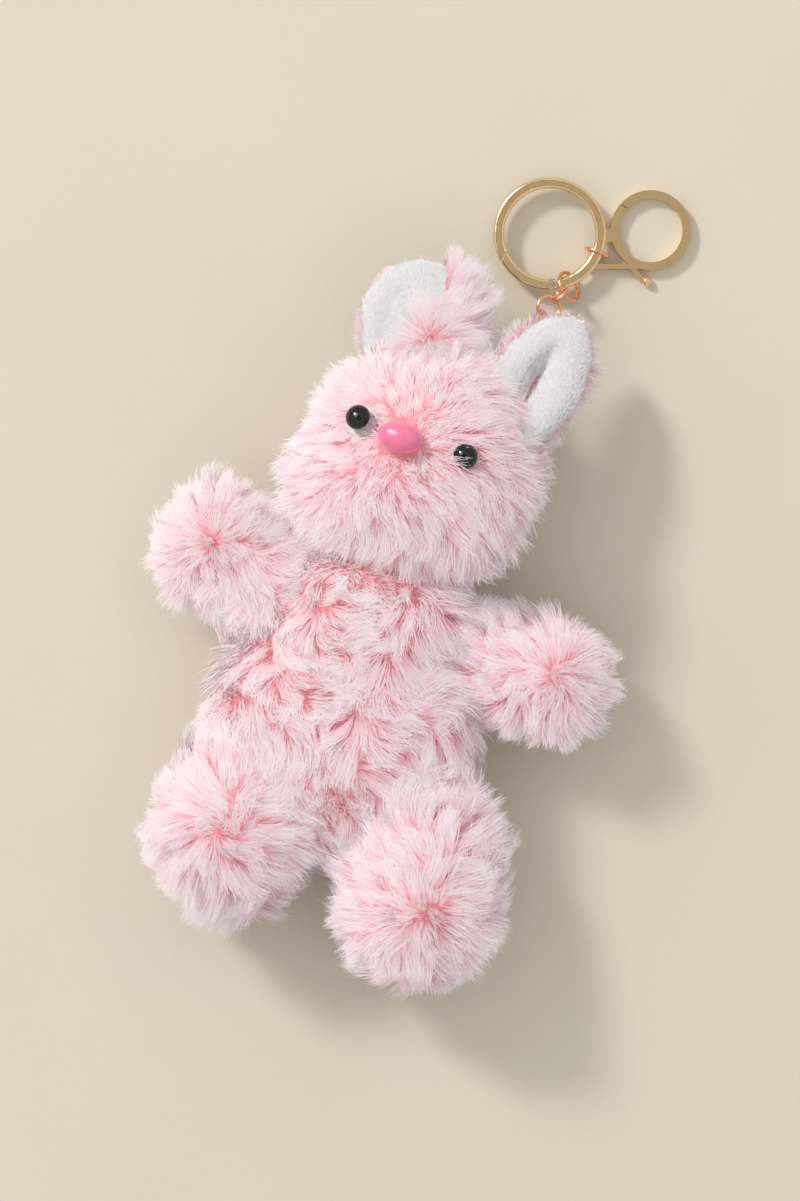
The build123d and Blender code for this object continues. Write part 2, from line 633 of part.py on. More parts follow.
def make_clasp():
    """Clasp body with its eye, the trigger, the rivet and the return spring."""
    ring = Pos(*clasp_c) * (
        Cylinder(CLASP_ID / 2 + CLASP_WALL, CLASP_T) - Cylinder(CLASP_ID / 2, 2 * CLASP_T)
    )
    open_zone = Pos(*clasp_c) * sector(CLASP_TIP_ANGLE - TIP_MARGIN, CLASP_PIVOT_ANGLE, REACH, REACH)
    tip_reach = (clasp_tip - clasp_pivot).length
    keep_tip = Pos(*clasp_pivot) * Cylinder(tip_reach + GATE_GAP, REACH)
    hook = ring - (open_zone & keep_tip)
    hook = biggest(hook)
    bar = stroke([bar_start, apex], CLASP_BAR, CLASP_T, CLASP_Z)
    thin_z = CLASP_Z + CLASP_T / 2 - CLASP_WALL_T / 2 - CLASP_WALL_DROP
    wall_top = clasp_pivot - unit(clasp_pivot - apex) * CLASP_HUB_R
    lift = Vector(0, 0, thin_z - CLASP_Z)
    wall = stroke([apex + lift, wall_top + lift], CLASP_BAR, CLASP_WALL_T, thin_z)
    hub = Pos(*clasp_pivot) * Cylinder(CLASP_HUB_R, CLASP_T)
    body = hook + bar + wall + hub
    # room for the trigger's flat plate inside hub and bar
    hub_slot = Pos(*clasp_pivot) * Cylinder(CLASP_HUB_R + HUB_PLAY, LEVER_SLOT)
    slot_start = CLASP_PIVOT_ANGLE - HUB_OVERLAP
    lever_zone = sector(slot_start, 270 + CLASP_BAR_ANGLE, LEVER_SLOT_R, LEVER_SLOT / 2)
    body = body - hub_slot - Pos(*clasp_c) * lever_zone
    body = body - Pos(*clasp_pivot) * Cylinder(RIVET_D / 2, REACH)
    add("clasp_body", biggest(body))

    gate_end = CLASP_PIVOT_ANGLE - 2 * HUB_OVERLAP
    gate = ring & Pos(*clasp_c) * sector(CLASP_TIP_ANGLE - TIP_MARGIN, gate_end, REACH, REACH)
    gate = gate & Pos(*clasp_pivot) * Cylinder(tip_reach - GATE_GAP, REACH)
    gate = gate - Pos(*clasp_pivot) * Cylinder(CLASP_HUB_R + HUB_PLAY, REACH)
    hub_plate = Pos(*clasp_pivot) * Cylinder(CLASP_HUB_R, LEVER_T)
    bridge_start = CLASP_PIVOT_ANGLE - BRIDGE_ANGLE
    bridge = ring & Pos(*clasp_c) * sector(bridge_start, CLASP_PIVOT_ANGLE, REACH, REACH)
    bridge = bridge & Pos(*clasp_pivot) * Box(REACH, REACH, LEVER_T)
    lever_line = arc_points(CLASP_PIVOT_ANGLE, LEVER_BEND[0][0], LEVER_STEPS, clasp_mid)[1:]
    lever_line += [polar(clasp_c, clasp_mid + out, angle) for angle, out in LEVER_BEND[1:]]
    lever = stroke(lever_line, LEVER_WIDTH, LEVER_T, CLASP_Z)
    ball = Pos(*lever_line[-1]) * Sphere(BALL_D / 2)
    trigger = gate + hub_plate + bridge + lever + ball
    trigger = trigger - Pos(*clasp_pivot) * Cylinder(RIVET_D / 2 + RUN_FIT, REACH)
    add("clasp_trigger", biggest(trigger))
    add("clasp_rivet", Pos(*clasp_pivot) * Cylinder(RIVET_D / 2, CLASP_T))
    add("clasp_spring", clasp_spring())
    normal = heading(CLASP_LINK_ANGLE + 90)
    out = heading(CLASP_LINK_ANGLE)
    add("clasp_link", torus_link(clasp_link_c, out, normal, CLASP_LINK_D, CLASP_LINK_WIRE))


def make_all():
    """Every piece, then the move to the bottom centre of the whole set."""
    make_limbs()
    make_ears()
    make_head()
    make_torso()
    make_key_ring()
    make_chain()
    make_clasp()


make_all()
whole = Compound(children=[Compound(s.solids()) for s in NODES.values()]).bounding_box()
SHIFT = Vector(-whole.center().X, -whole.center().Y, -whole.min.Z)
os.makedirs("parts", exist_ok=True)
for node, shape in NODES.items():
    solids = [Pos(*SHIFT) * s for s in shape.solids()]
    piece = solids[0] if len(solids) == 1 else Compound(solids)
    export_step(piece, f"parts/{node}.step")
print("shift", SHIFT, "size", whole.size)
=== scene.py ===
"""Looks of the plush bunny keychain: brushed pile, plush ears, beads and gold hardware round the frame."""

import json
import logging
import math
from collections.abc import Callable, Sequence
from dataclasses import dataclass, field
from enum import Enum

import bpy
import numpy as np
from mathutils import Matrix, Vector
from mathutils.kdtree import KDTree

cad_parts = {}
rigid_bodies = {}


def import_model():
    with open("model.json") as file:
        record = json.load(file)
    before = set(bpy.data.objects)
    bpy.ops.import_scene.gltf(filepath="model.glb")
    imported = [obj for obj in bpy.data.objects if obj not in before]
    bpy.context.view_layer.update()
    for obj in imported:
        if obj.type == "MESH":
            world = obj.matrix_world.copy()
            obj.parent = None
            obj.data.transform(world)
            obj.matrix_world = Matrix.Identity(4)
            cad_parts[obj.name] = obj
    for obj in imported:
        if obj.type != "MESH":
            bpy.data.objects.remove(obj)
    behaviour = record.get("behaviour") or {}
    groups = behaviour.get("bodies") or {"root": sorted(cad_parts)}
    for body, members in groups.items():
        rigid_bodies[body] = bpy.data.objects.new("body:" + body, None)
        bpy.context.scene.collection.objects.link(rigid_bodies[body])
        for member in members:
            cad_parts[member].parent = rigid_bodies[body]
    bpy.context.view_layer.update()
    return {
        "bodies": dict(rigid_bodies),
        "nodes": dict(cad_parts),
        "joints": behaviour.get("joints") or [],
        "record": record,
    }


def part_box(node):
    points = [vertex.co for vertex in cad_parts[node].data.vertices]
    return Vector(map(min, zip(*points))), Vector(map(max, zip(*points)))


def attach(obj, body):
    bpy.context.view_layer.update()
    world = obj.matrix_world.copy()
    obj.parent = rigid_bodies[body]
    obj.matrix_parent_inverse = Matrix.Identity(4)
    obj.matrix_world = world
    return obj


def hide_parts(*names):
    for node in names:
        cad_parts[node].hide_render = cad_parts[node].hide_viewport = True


LOG = logging.getLogger("plush_keychain")
MM = 0.001
PILE_MAP = "OFBake"
TABLE_TOP = 0.0003

Array = np.ndarray


class Side(Enum):
    """The two sides of the bunny, as its frame nodes name them."""

    LEFT = "left"
    RIGHT = "right"


# ---------------------------------------------------------------- small tools


def srgb(red: int, green: int, blue: int) -> tuple[float, float, float, float]:
    """Turn a screen colour of 0 to 255 a channel into a linear one.

    Args:
        red: Red, 0 to 255.
        green: Green, 0 to 255.
        blue: Blue, 0 to 255.

    Returns:
        Linear red, green, blue and an alpha of one.
    """

    def linear(level: int) -> float:
        """One channel."""
        part = level / 255
        return part / 12.92 if part <= 0.04045 else ((part + 0.055) / 1.055) ** 2.4

    return linear(red), linear(green), linear(blue), 1.0


def unit_rows(rows: Array) -> Array:
    """Scale every row of an array to length one."""
    size = np.linalg.norm(rows, axis=1, keepdims=True)
    return rows / np.maximum(size, 1e-9)


def middle(node: str) -> Array:
    """Middle of a frame node's box, in metres."""
    low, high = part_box(node)
    return (np.array(low) + np.array(high)) / 2


def extent(nodes: Sequence[str]) -> tuple[Array, Array]:
    """Lowest and highest corners of several frame nodes together.

    Args:
        nodes: Names of the frame nodes.

    Returns:
        The two corners, in metres.
    """
    boxes = [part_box(node) for node in nodes]
    low = np.min([np.array(b[0]) for b in boxes], axis=0)
    high = np.max([np.array(b[1]) for b in boxes], axis=0)
    return low, high


def new_mesh_object(name: str, mesh: bpy.types.Mesh) -> bpy.types.Object:
    """Link a mesh into the scene under a name."""
    piece = bpy.data.objects.new(name, mesh)
    bpy.context.scene.collection.objects.link(piece)
    return piece


def apply_modifiers(piece: bpy.types.Object) -> None:
    """Bake every modifier of a piece into its mesh."""
    graph = bpy.context.evaluated_depsgraph_get()
    baked = bpy.data.meshes.new_from_object(piece.evaluated_get(graph))
    old = piece.data
    piece.modifiers.clear()
    piece.data = baked
    bpy.data.meshes.remove(old)


def smooth_shade(piece: bpy.types.Object) -> None:
    """Shade every face of a piece smoothly."""
    piece.data.polygons.foreach_set("use_smooth", [True] * len(piece.data.polygons))


def dress(piece: bpy.types.Object, material: bpy.types.Material) -> None:
    """Give a piece one material."""
    piece.data.materials.clear()
    piece.data.materials.append(material)


# ---------------------------------------------------------------- shader groups


def group_with(
    name: str, inputs: Sequence[tuple[str, str, object]], outputs: Sequence[tuple[str, str]]
) -> bpy.types.NodeTree:
    """Make an empty shader node group with named sockets.

    Args:
        name: Name of the group.
        inputs: Socket name, socket type and default of each input.
        outputs: Socket name and socket type of each output.

    Returns:
        The node group, with its input and output nodes in place.
    """
    tree = bpy.data.node_groups.new(name, "ShaderNodeTree")
    for socket, kind, default in inputs:
        made = tree.interface.new_socket(name=socket, in_out="INPUT", socket_type=kind)
        if default is not None:
            made.default_value = default
    for socket, kind in outputs:
        tree.interface.new_socket(name=socket, in_out="OUTPUT", socket_type=kind)
    tree.nodes.new("NodeGroupInput")
    tree.nodes.new("NodeGroupOutput")
    return tree


def gate(tree: bpy.types.NodeTree, kind: str) -> bpy.types.Node:
    """Find a group's input or output node by its type name."""
    return next(node for node in tree.nodes if node.bl_idname == kind)


@dataclass
class ShaderKit:
    """Node groups that several finishes share, each built once."""

    fibre: bpy.types.NodeTree = field(init=False)
    plating: bpy.types.NodeTree = field(init=False)
    grain: bpy.types.NodeTree = field(init=False)

    def __post_init__(self) -> None:
        """Build the groups."""
        self.fibre = self.build_fibre()
        self.plating = self.build_plating()
        self.grain = self.build_grain()

    def build_fibre(self) -> bpy.types.NodeTree:
        """Colour along a fibre from root to tip, with a lock-to-lock variation.

        Returns:
            The node group.
        """
        colour = "NodeSocketColor"
        tree = group_with(
            "fibre_colour",
            [
                ("Place", "NodeSocketVector", None),
                ("Root", colour, (0.5, 0.2, 0.25, 1)),
                ("Middle", colour, (0.8, 0.5, 0.55, 1)),
                ("Tip", colour, (0.95, 0.85, 0.87, 1)),
                ("Variation", "NodeSocketFloat", 0.1),
            ],
            [("Color", colour)],
        )
        nodes, links = tree.nodes, tree.links
        source = gate(tree, "NodeGroupInput")
        split = nodes.new("ShaderNodeSeparateXYZ")
        links.new(source.outputs["Place"], split.inputs[0])
        low = self.span(tree, split.outputs["Y"], 0.0, 0.45)
        high = self.span(tree, split.outputs["Y"], 0.38, 0.96)
        first = self.mix(tree, low, source.outputs["Root"], source.outputs["Middle"])
        second = self.mix(tree, high, first, source.outputs["Tip"])
        lock = nodes.new("ShaderNodeTexNoise")
        lock.noise_dimensions = "1D"
        lock.inputs["Scale"].default_value = 37.0
        lock.inputs["Detail"].default_value = 3.0
        links.new(split.outputs["X"], lock.inputs["W"])
        swing = nodes.new("ShaderNodeMath")
        swing.operation = "MULTIPLY_ADD"
        offset = nodes.new("ShaderNodeMath")
        offset.operation = "SUBTRACT"
        offset.inputs[1].default_value = 0.5
        links.new(lock.outputs["Fac"], offset.inputs[0])
        links.new(offset.outputs[0], swing.inputs[0])
        links.new(source.outputs["Variation"], swing.inputs[1])
        swing.inputs[2].default_value = 1.0
        tone = nodes.new("ShaderNodeHueSaturation")
        links.new(second, tone.inputs["Color"])
        links.new(swing.outputs[0], tone.inputs["Value"])
        warm = nodes.new("ShaderNodeMath")
        warm.operation = "MULTIPLY_ADD"
        links.new(offset.outputs[0], warm.inputs[0])
        warm.inputs[1].default_value = -1.1
        warm.inputs[2].default_value = 1.0
        links.new(warm.outputs[0], tone.inputs["Saturation"])
        links.new(tone.outputs["Color"], gate(tree, "NodeGroupOutput").inputs["Color"])
        return tree

    def build_plating(self) -> bpy.types.NodeTree:
        """Polished plating: faint clouding, fine rub marks and a thin tarnish.

        Returns:
            The node group.
        """
        colour, value = "NodeSocketColor", "NodeSocketFloat"
        tree = group_with(
            "plating_wear",
            [
                ("Place", "NodeSocketVector", None),
                ("Bright", colour, (0.8, 0.65, 0.45, 1)),
                ("Tarnish", colour, (0.5, 0.35, 0.2, 1)),
                ("Gloss", value, 0.14),
            ],
            [("Color", colour), ("Roughness", value), ("Height", value)],
        )
        nodes, links = tree.nodes, tree.links
        source, sink = gate(tree, "NodeGroupInput"), gate(tree, "NodeGroupOutput")
        cloud = nodes.new("ShaderNodeTexNoise")
        cloud.inputs["Scale"].default_value = 260.0
        cloud.inputs["Detail"].default_value = 4.0
        scratch = nodes.new("ShaderNodeTexNoise")
        scratch.inputs["Scale"].default_value = 2600.0
        scratch.inputs["Detail"].default_value = 2.0
        for texture in (cloud, scratch):
            links.new(source.outputs["Place"], texture.inputs["Vector"])
        dull = self.span(tree, cloud.outputs["Fac"], 0.55, 0.85)
        blend = self.mix(tree, dull, source.outputs["Bright"], source.outputs["Tarnish"])
        links.new(blend, sink.inputs["Color"])
        rough = nodes.new("ShaderNodeMath")
        rough.operation = "MULTIPLY_ADD"
        links.new(cloud.outputs["Fac"], rough.inputs[0])
        rough.inputs[1].default_value = 0.12
        links.new(source.outputs["Gloss"], rough.inputs[2])
        links.new(rough.outputs[0], sink.inputs["Roughness"])
        links.new(scratch.outputs["Fac"], sink.inputs["Height"])
        return tree

    def build_grain(self) -> bpy.types.NodeTree:
        """Two-scale mottling for cloth, paper, fibre fill and moulded parts.

        Returns:
            The node group.
        """
        colour, value = "NodeSocketColor", "NodeSocketFloat"
        tree = group_with(
            "two_scale_grain",
            [
                ("Place", "NodeSocketVector", None),
                ("Light", colour, (0.9, 0.9, 0.9, 1)),
                ("Dark", colour, (0.7, 0.7, 0.7, 1)),
                ("Coarse", value, 60.0),
                ("Fine", value, 900.0),
            ],
            [("Color", colour), ("Height", value)],
        )
        nodes, links = tree.nodes, tree.links
        source, sink = gate(tree, "NodeGroupInput"), gate(tree, "NodeGroupOutput")
        broad = nodes.new("ShaderNodeTexNoise")
        fine = nodes.new("ShaderNodeTexNoise")
        for texture, scale in ((broad, "Coarse"), (fine, "Fine")):
            texture.inputs["Detail"].default_value = 3.0
            links.new(source.outputs["Place"], texture.inputs["Vector"])
            links.new(source.outputs[scale], texture.inputs["Scale"])
        both = nodes.new("ShaderNodeMath")
        both.operation = "MULTIPLY_ADD"
        links.new(fine.outputs["Fac"], both.inputs[0])
        both.inputs[1].default_value = 0.4
        links.new(broad.outputs["Fac"], both.inputs[2])
        share = self.span(tree, both.outputs[0], 0.45, 0.95)
        tint = self.mix(tree, share, source.outputs["Light"], source.outputs["Dark"])
        links.new(tint, sink.inputs["Color"])
        links.new(fine.outputs["Fac"], sink.inputs["Height"])
        return tree

    @staticmethod
    def span(
        tree: bpy.types.NodeTree, value: bpy.types.NodeSocket, low: float, high: float
    ) -> bpy.types.NodeSocket:
        """Stretch a value from low..high to 0..1, smoothly.

        Args:
            tree: Tree that gets the node.
            value: Socket to read.
            low: Value that becomes 0.
            high: Value that becomes 1.

        Returns:
            The stretched value's socket.
        """
        node = tree.nodes.new("ShaderNodeMapRange")
        node.interpolation_type = "SMOOTHSTEP"
        node.inputs["From Min"].default_value = low
        node.inputs["From Max"].default_value = high
        tree.links.new(value, node.inputs["Value"])
        return node.outputs["Result"]

    @staticmethod
    def mix(
        tree: bpy.types.NodeTree,
        share: bpy.types.NodeSocket,
        first: bpy.types.NodeSocket,
        second: bpy.types.NodeSocket,
    ) -> bpy.types.NodeSocket:
        """Mix two colours by a share.

        Args:
            tree: Tree that gets the node.
            share: How much of the second colour.
            first: Colour at 0.
            second: Colour at 1.

        Returns:
            The mixed colour's socket.
        """
        node = tree.nodes.new("ShaderNodeMix")
        node.data_type = "RGBA"
        tree.links.new(share, node.inputs["Factor"])
        tree.links.new(first, node.inputs[6])
        tree.links.new(second, node.inputs[7])
        return node.outputs[2]


# ---------------------------------------------------------------- finishes


def blank_material(name: str) -> tuple[bpy.types.Material, bpy.types.Node]:
    """Make a node material.

    Args:
        name: Name of the material.

    Returns:
        The material and its Principled shader.
    """
    material = bpy.data.materials.new(name)
    material.use_nodes = True
    return material, material.node_tree.nodes["Principled BSDF"]


def place_group(
    material: bpy.types.Material, tree: bpy.types.NodeTree, values: dict[str, object]
) -> bpy.types.Node:
    """Put a shared group into a material with its own values.

    Args:
        material: Material that gets the group.
        tree: The shared group.
        values: Input name to value.

    Returns:
        The group node.
    """
    node = material.node_tree.nodes.new("ShaderNodeGroup")
    node.node_tree = tree
    for name, value in values.items():
        node.inputs[name].default_value = value
    return node


@dataclass(frozen=True)
class FibreFinish:
    """Pile fibres coloured from root to tip through their own map, plus a faint painted emission of that
    colour.
    """

    name: str
    root: tuple[float, float, float, float]
    middle: tuple[float, float, float, float]
    tip: tuple[float, float, float, float]
    variation: float = 0.08
    roughness: float = 0.75
    sheen: float = 0.25
    # strength of the painted emission: the fibre colour shines faintly, standing in for light scattered
    # through the pile
    painted_glow: float = 0.10

    def build(self, kit: ShaderKit) -> bpy.types.Material:
        """Make the material.

        Args:
            kit: The shared node groups.

        Returns:
            The finished material.
        """
        material, shader = blank_material(self.name)
        links = material.node_tree.links
        place = material.node_tree.nodes.new("ShaderNodeUVMap")
        place.uv_map = PILE_MAP
        fibre = place_group(
            material,
            kit.fibre,
            {
                "Root": self.root,
                "Middle": self.middle,
                "Tip": self.tip,
                "Variation": self.variation,
            },
        )
        links.new(place.outputs["UV"], fibre.inputs["Place"])
        links.new(fibre.outputs["Color"], shader.inputs["Base Color"])
        # painted light: the fibre colour also feeds the emission, lifting the pile's shaded parts as if
        # lit through
        links.new(fibre.outputs["Color"], shader.inputs["Emission Color"])
        shader.inputs["Emission Strength"].default_value = self.painted_glow
        self.light_both_sides(material, shader)
        shader.inputs["Roughness"].default_value = self.roughness
        shader.inputs["Sheen Weight"].default_value = self.sheen
        shader.inputs["Sheen Roughness"].default_value = 0.5
        shader.inputs["Specular IOR Level"].default_value = 0.2
        return material


    @staticmethod
    def light_both_sides(material: bpy.types.Material, shader: bpy.types.Node) -> None:
        """Let a strand seen from behind be lit like its front.

        Args:
            material: The pile's material.
            shader: Its Principled shader.
        """
        nodes, links = material.node_tree.nodes, material.node_tree.links
        side = nodes.new("ShaderNodeNewGeometry")
        turn = nodes.new("ShaderNodeMath")
        turn.operation = "MULTIPLY_ADD"
        links.new(side.outputs["Backfacing"], turn.inputs[0])
        turn.inputs[1].default_value = -2.0
        turn.inputs[2].default_value = 1.0
        front = nodes.new("ShaderNodeVectorMath")
        front.operation = "SCALE"
        links.new(side.outputs["Normal"], front.inputs[0])
        links.new(turn.outputs[0], front.inputs["Scale"])
        links.new(front.outputs[0], shader.inputs["Normal"])


@dataclass(frozen=True)
class PlatingFinish:
    """Polished plating on the rings, links and clasp."""

    name: str
    bright: tuple[float, float, float, float]
    tarnish: tuple[float, float, float, float]
    gloss: float = 0.04
    scratch: float = 0.02

    def build(self, kit: ShaderKit) -> bpy.types.Material:
        """Make the material.

        Args:
            kit: The shared node groups.

        Returns:
            The finished material.
        """
        material, shader = blank_material(self.name)
        nodes, links = material.node_tree.nodes, material.node_tree.links
        place = nodes.new("ShaderNodeTexCoord")
        values = {"Bright": self.bright, "Tarnish": self.tarnish, "Gloss": self.gloss}
        plating = place_group(material, kit.plating, values)
        links.new(place.outputs["Object"], plating.inputs["Place"])
        links.new(plating.outputs["Color"], shader.inputs["Base Color"])
        links.new(plating.outputs["Roughness"], shader.inputs["Roughness"])
        bump = nodes.new("ShaderNodeBump")
        bump.inputs["Strength"].default_value = self.scratch
        bump.inputs["Distance"].default_value = 0.05 * MM
        links.new(plating.outputs["Height"], bump.inputs["Height"])
        links.new(bump.outputs["Normal"], shader.inputs["Normal"])
        shader.inputs["Metallic"].default_value = 1.0
        return material


@dataclass(frozen=True)
class GrainFinish:
    """Mottled surface: cloth, fibre fill, moulded plastic, bead or paper."""

    name: str
    light: tuple[float, float, float, float]
    dark: tuple[float, float, float, float]
    coarse: float = 60.0
    fine: float = 900.0
    roughness: float = 0.8
    relief: float = 0.3
    relief_mm: float = 0.2
    sheen: float = 0.0
    coat: float = 0.0
    coat_roughness: float = 0.05

    def build(self, kit: ShaderKit) -> bpy.types.Material:
        """Make the material.

        Args:
            kit: The shared node groups.

        Returns:
            The finished material.
        """
        material, shader = blank_material(self.name)
        nodes, links = material.node_tree.nodes, material.node_tree.links
        place = nodes.new("ShaderNodeTexCoord")
        values = {
            "Light": self.light,
            "Dark": self.dark,
            "Coarse": self.coarse,
            "Fine": self.fine,
        }
        grain = place_group(material, kit.grain, values)
        links.new(place.outputs["Object"], grain.inputs["Place"])
        links.new(grain.outputs["Color"], shader.inputs["Base Color"])
        bump = nodes.new("ShaderNodeBump")
        bump.inputs["Strength"].default_value = self.relief
        bump.inputs["Distance"].default_value = self.relief_mm * MM
        links.new(grain.outputs["Height"], bump.inputs["Height"])
        links.new(bump.outputs["Normal"], shader.inputs["Normal"])
        shader.inputs["Roughness"].default_value = self.roughness
        shader.inputs["Sheen Weight"].default_value = self.sheen
        shader.inputs["Coat Weight"].default_value = self.coat
        shader.inputs["Coat Roughness"].default_value = self.coat_roughness
        return material


LONG_PILE = FibreFinish(
    "pink_long_pile",
    root=srgb(255, 184, 197),
    middle=srgb(255, 225, 232),
    tip=srgb(255, 245, 249),
)
# deeper salmon pile for the armpits, throat and crotch: partly the real short curly fur at the seams,
# partly painted shade in the corners between the parts
SEAM_PILE_AND_SHADE = FibreFinish(
    "pink_seam_pile_and_shade",
    root=srgb(236, 128, 140),
    middle=srgb(250, 172, 182),
    tip=srgb(255, 214, 219),
)
EAR_PLUSH = FibreFinish(
    "white_ear_plush",
    root=srgb(222, 218, 223),
    middle=srgb(236, 235, 239),
    tip=srgb(244, 244, 247),
    variation=0.05,
    sheen=0.2,
)
BACKING = GrainFinish(
    "pink_backing_cloth",
    light=srgb(250, 176, 186),
    dark=srgb(240, 150, 163),
    coarse=180.0,
    fine=2200.0,
    relief_mm=0.4,
    sheen=0.3,
)
LINING = GrainFinish(
    "white_lining_cloth",
    light=srgb(244, 243, 246),
    dark=srgb(228, 226, 230),
    coarse=220.0,
    fine=2600.0,
    relief_mm=0.35,
    relief=0.5,
    sheen=0.3,
)
TAPE = GrainFinish(
    "pink_woven_tape",
    light=srgb(238, 168, 184),
    dark=srgb(216, 132, 150),
    coarse=700.0,
    fine=3600.0,
    relief_mm=0.15,
    sheen=0.4,
)
NOSE_GLOSS = GrainFinish(
    "pink_nose_gloss",
    light=srgb(255, 136, 174),
    dark=srgb(255, 118, 162),
    coarse=90.0,
    fine=600.0,
    roughness=0.28,
    relief=0.03,
    relief_mm=0.05,
    coat=0.7,
    coat_roughness=0.08,
)
EYE_GLOSS = GrainFinish(
    "black_eye_gloss",
    light=srgb(8, 8, 10),
    dark=srgb(14, 12, 14),
    coarse=150.0,
    fine=1200.0,
    roughness=0.12,
    relief=0.03,
    relief_mm=0.03,
    coat=0.15,
    coat_roughness=0.03,
)
WASHER_PLASTIC = GrainFinish(
    "washer_plastic",
    light=srgb(232, 231, 226),
    dark=srgb(214, 212, 206),
    roughness=0.5,
    relief=0.1,
)
PALE_GOLD = PlatingFinish(
    "pale_gold_plating", bright=srgb(250, 222, 176), tarnish=srgb(232, 196, 142)
)
ROSE_GOLD = PlatingFinish(
    "rose_gold_plating", bright=srgb(250, 192, 148), tarnish=srgb(232, 162, 118)
)
STEEL = PlatingFinish(
    "bright_steel", bright=srgb(205, 203, 200), tarnish=srgb(170, 168, 165), gloss=0.2
)
TABLE = GrainFinish(
    "table_paper",
    light=srgb(231, 223, 207),
    dark=srgb(228, 220, 203),
    coarse=14.0,
    fine=420.0,
    roughness=0.9,
    relief=0.1,
    relief_mm=0.15,
)


@dataclass
class Wardrobe:
    """Every material of the keychain, made once."""

    kit: ShaderKit
    made: dict[str, bpy.types.Material] = field(default_factory=dict)

    def __getitem__(self, finish: FibreFinish | PlatingFinish | GrainFinish) -> bpy.types.Material:
        """Material of a finish, built the first time it is asked for."""
        if finish.name not in self.made:
            self.made[finish.name] = finish.build(self.kit)
        return self.made[finish.name]


# ---------------------------------------------------------------- padded skins


@dataclass(frozen=True)
class Blob:
    """One ball of stuffing: middle and half sizes, in millimetres, with a turn about Z."""

    at: tuple[float, float, float]
    half: tuple[float, float, float]
    turn: float = 0.0


@dataclass
class PaddedSkin:
    """A sewn skin drawn over balls of stuffing, then puffed by a short cloth simulation."""

    name: str
    blobs: list[Blob]
    voxel: float = 2.4
    relax: int = 6
    puff: float = 1.2
    cap: float = 2.5

    def build(self) -> bpy.types.Object:
        """Join the balls into one skin.

        Returns:
            The skin as an object with one closed mesh.
        """
        verts: list[tuple[float, float, float]] = []
        faces: list[tuple[int, ...]] = []
        ball = self.unit_ball()
        for blob in self.blobs:
            start = len(verts)
            turn = math.radians(blob.turn)
            for x, y, z in ball[0]:
                px, py, pz = x * blob.half[0], y * blob.half[1], z * blob.half[2]
                rx = px * math.cos(turn) - py * math.sin(turn)
                ry = px * math.sin(turn) + py * math.cos(turn)
                verts.append(
                    ((blob.at[0] + rx) * MM, (blob.at[1] + ry) * MM, (blob.at[2] + pz) * MM)
                )
            faces += [tuple(start + i for i in face) for face in ball[1]]
        mesh = bpy.data.meshes.new(self.name)
        mesh.from_pydata(verts, [], faces)
        skin = new_mesh_object(self.name, mesh)
        remesh = skin.modifiers.new("join", "REMESH")
        remesh.mode = "VOXEL"
        remesh.voxel_size = self.voxel * MM
        soften = skin.modifiers.new("soften", "SMOOTH")
        soften.factor = 0.6
        soften.iterations = self.relax
        apply_modifiers(skin)
        self.simulate(skin)
        self.flatten(skin)
        smooth_shade(skin)
        return skin

    @staticmethod
    def unit_ball(rings: int = 14, steps: int = 24) -> tuple[list, list]:
        """A ball of radius one as vertices and faces."""
        verts = [(0.0, 0.0, 1.0)]
        for i in range(1, rings):
            polar = math.pi * i / rings
            for j in range(steps):
                turn = 2 * math.pi * j / steps
                verts.append(
                    (
                        math.sin(polar) * math.cos(turn),
                        math.sin(polar) * math.sin(turn),
                        math.cos(polar),
                    )
                )
        verts.append((0.0, 0.0, -1.0))
        last = len(verts) - 1
        faces = []
        for j in range(steps):
            k = (j + 1) % steps
            faces.append((0, 1 + j, 1 + k))
            for i in range(rings - 2):
                a, b = 1 + i * steps, 1 + (i + 1) * steps
                faces.append((a + j, b + j, b + k, a + k))
            base = 1 + (rings - 2) * steps
            faces.append((base + j, last, base + k))
        return verts, faces

    def simulate(self, skin: bpy.types.Object) -> None:
        """Puff the skin with cloth pressure and keep each point near where it was."""
        scene = bpy.context.scene
        before = self.points(skin)
        cloth = skin.modifiers.new("puff", "CLOTH")
        cloth.settings.quality = 4
        cloth.settings.mass = 0.25
        cloth.settings.tension_stiffness = 8
        cloth.settings.bending_stiffness = 1.5
        cloth.settings.use_pressure = True
        cloth.settings.uniform_pressure_force = self.puff
        cloth.settings.effector_weights.gravity = 0
        cloth.settings.shrink_min = 0.02
        cloth.collision_settings.use_self_collision = False
        scene.frame_start, scene.frame_end = 1, 12
        for frame in range(1, 13):
            scene.frame_set(frame)
        apply_modifiers(skin)
        after = self.points(skin)
        move = after - before
        size = np.linalg.norm(move, axis=1, keepdims=True)
        limit = self.cap * MM
        after = before + move * np.minimum(1.0, limit / np.maximum(size, 1e-9))
        skin.data.vertices.foreach_set("co", after.astype(np.float32).ravel())
        scene.frame_set(1)

    @staticmethod
    def points(skin: bpy.types.Object) -> Array:
        """The skin's vertices as an array."""
        data = np.empty(len(skin.data.vertices) * 3, np.float32)
        skin.data.vertices.foreach_get("co", data)
        return data.reshape(-1, 3).astype(float)

    def flatten(self, skin: bpy.types.Object) -> None:
        """Press the skin's lowest points onto the table."""
        points = self.points(skin)
        points[:, 2] = np.maximum(points[:, 2], TABLE_TOP)
        skin.data.vertices.foreach_set("co", points.astype(np.float32).ravel())
        skin.data.update()


# ---------------------------------------------------------------- pile


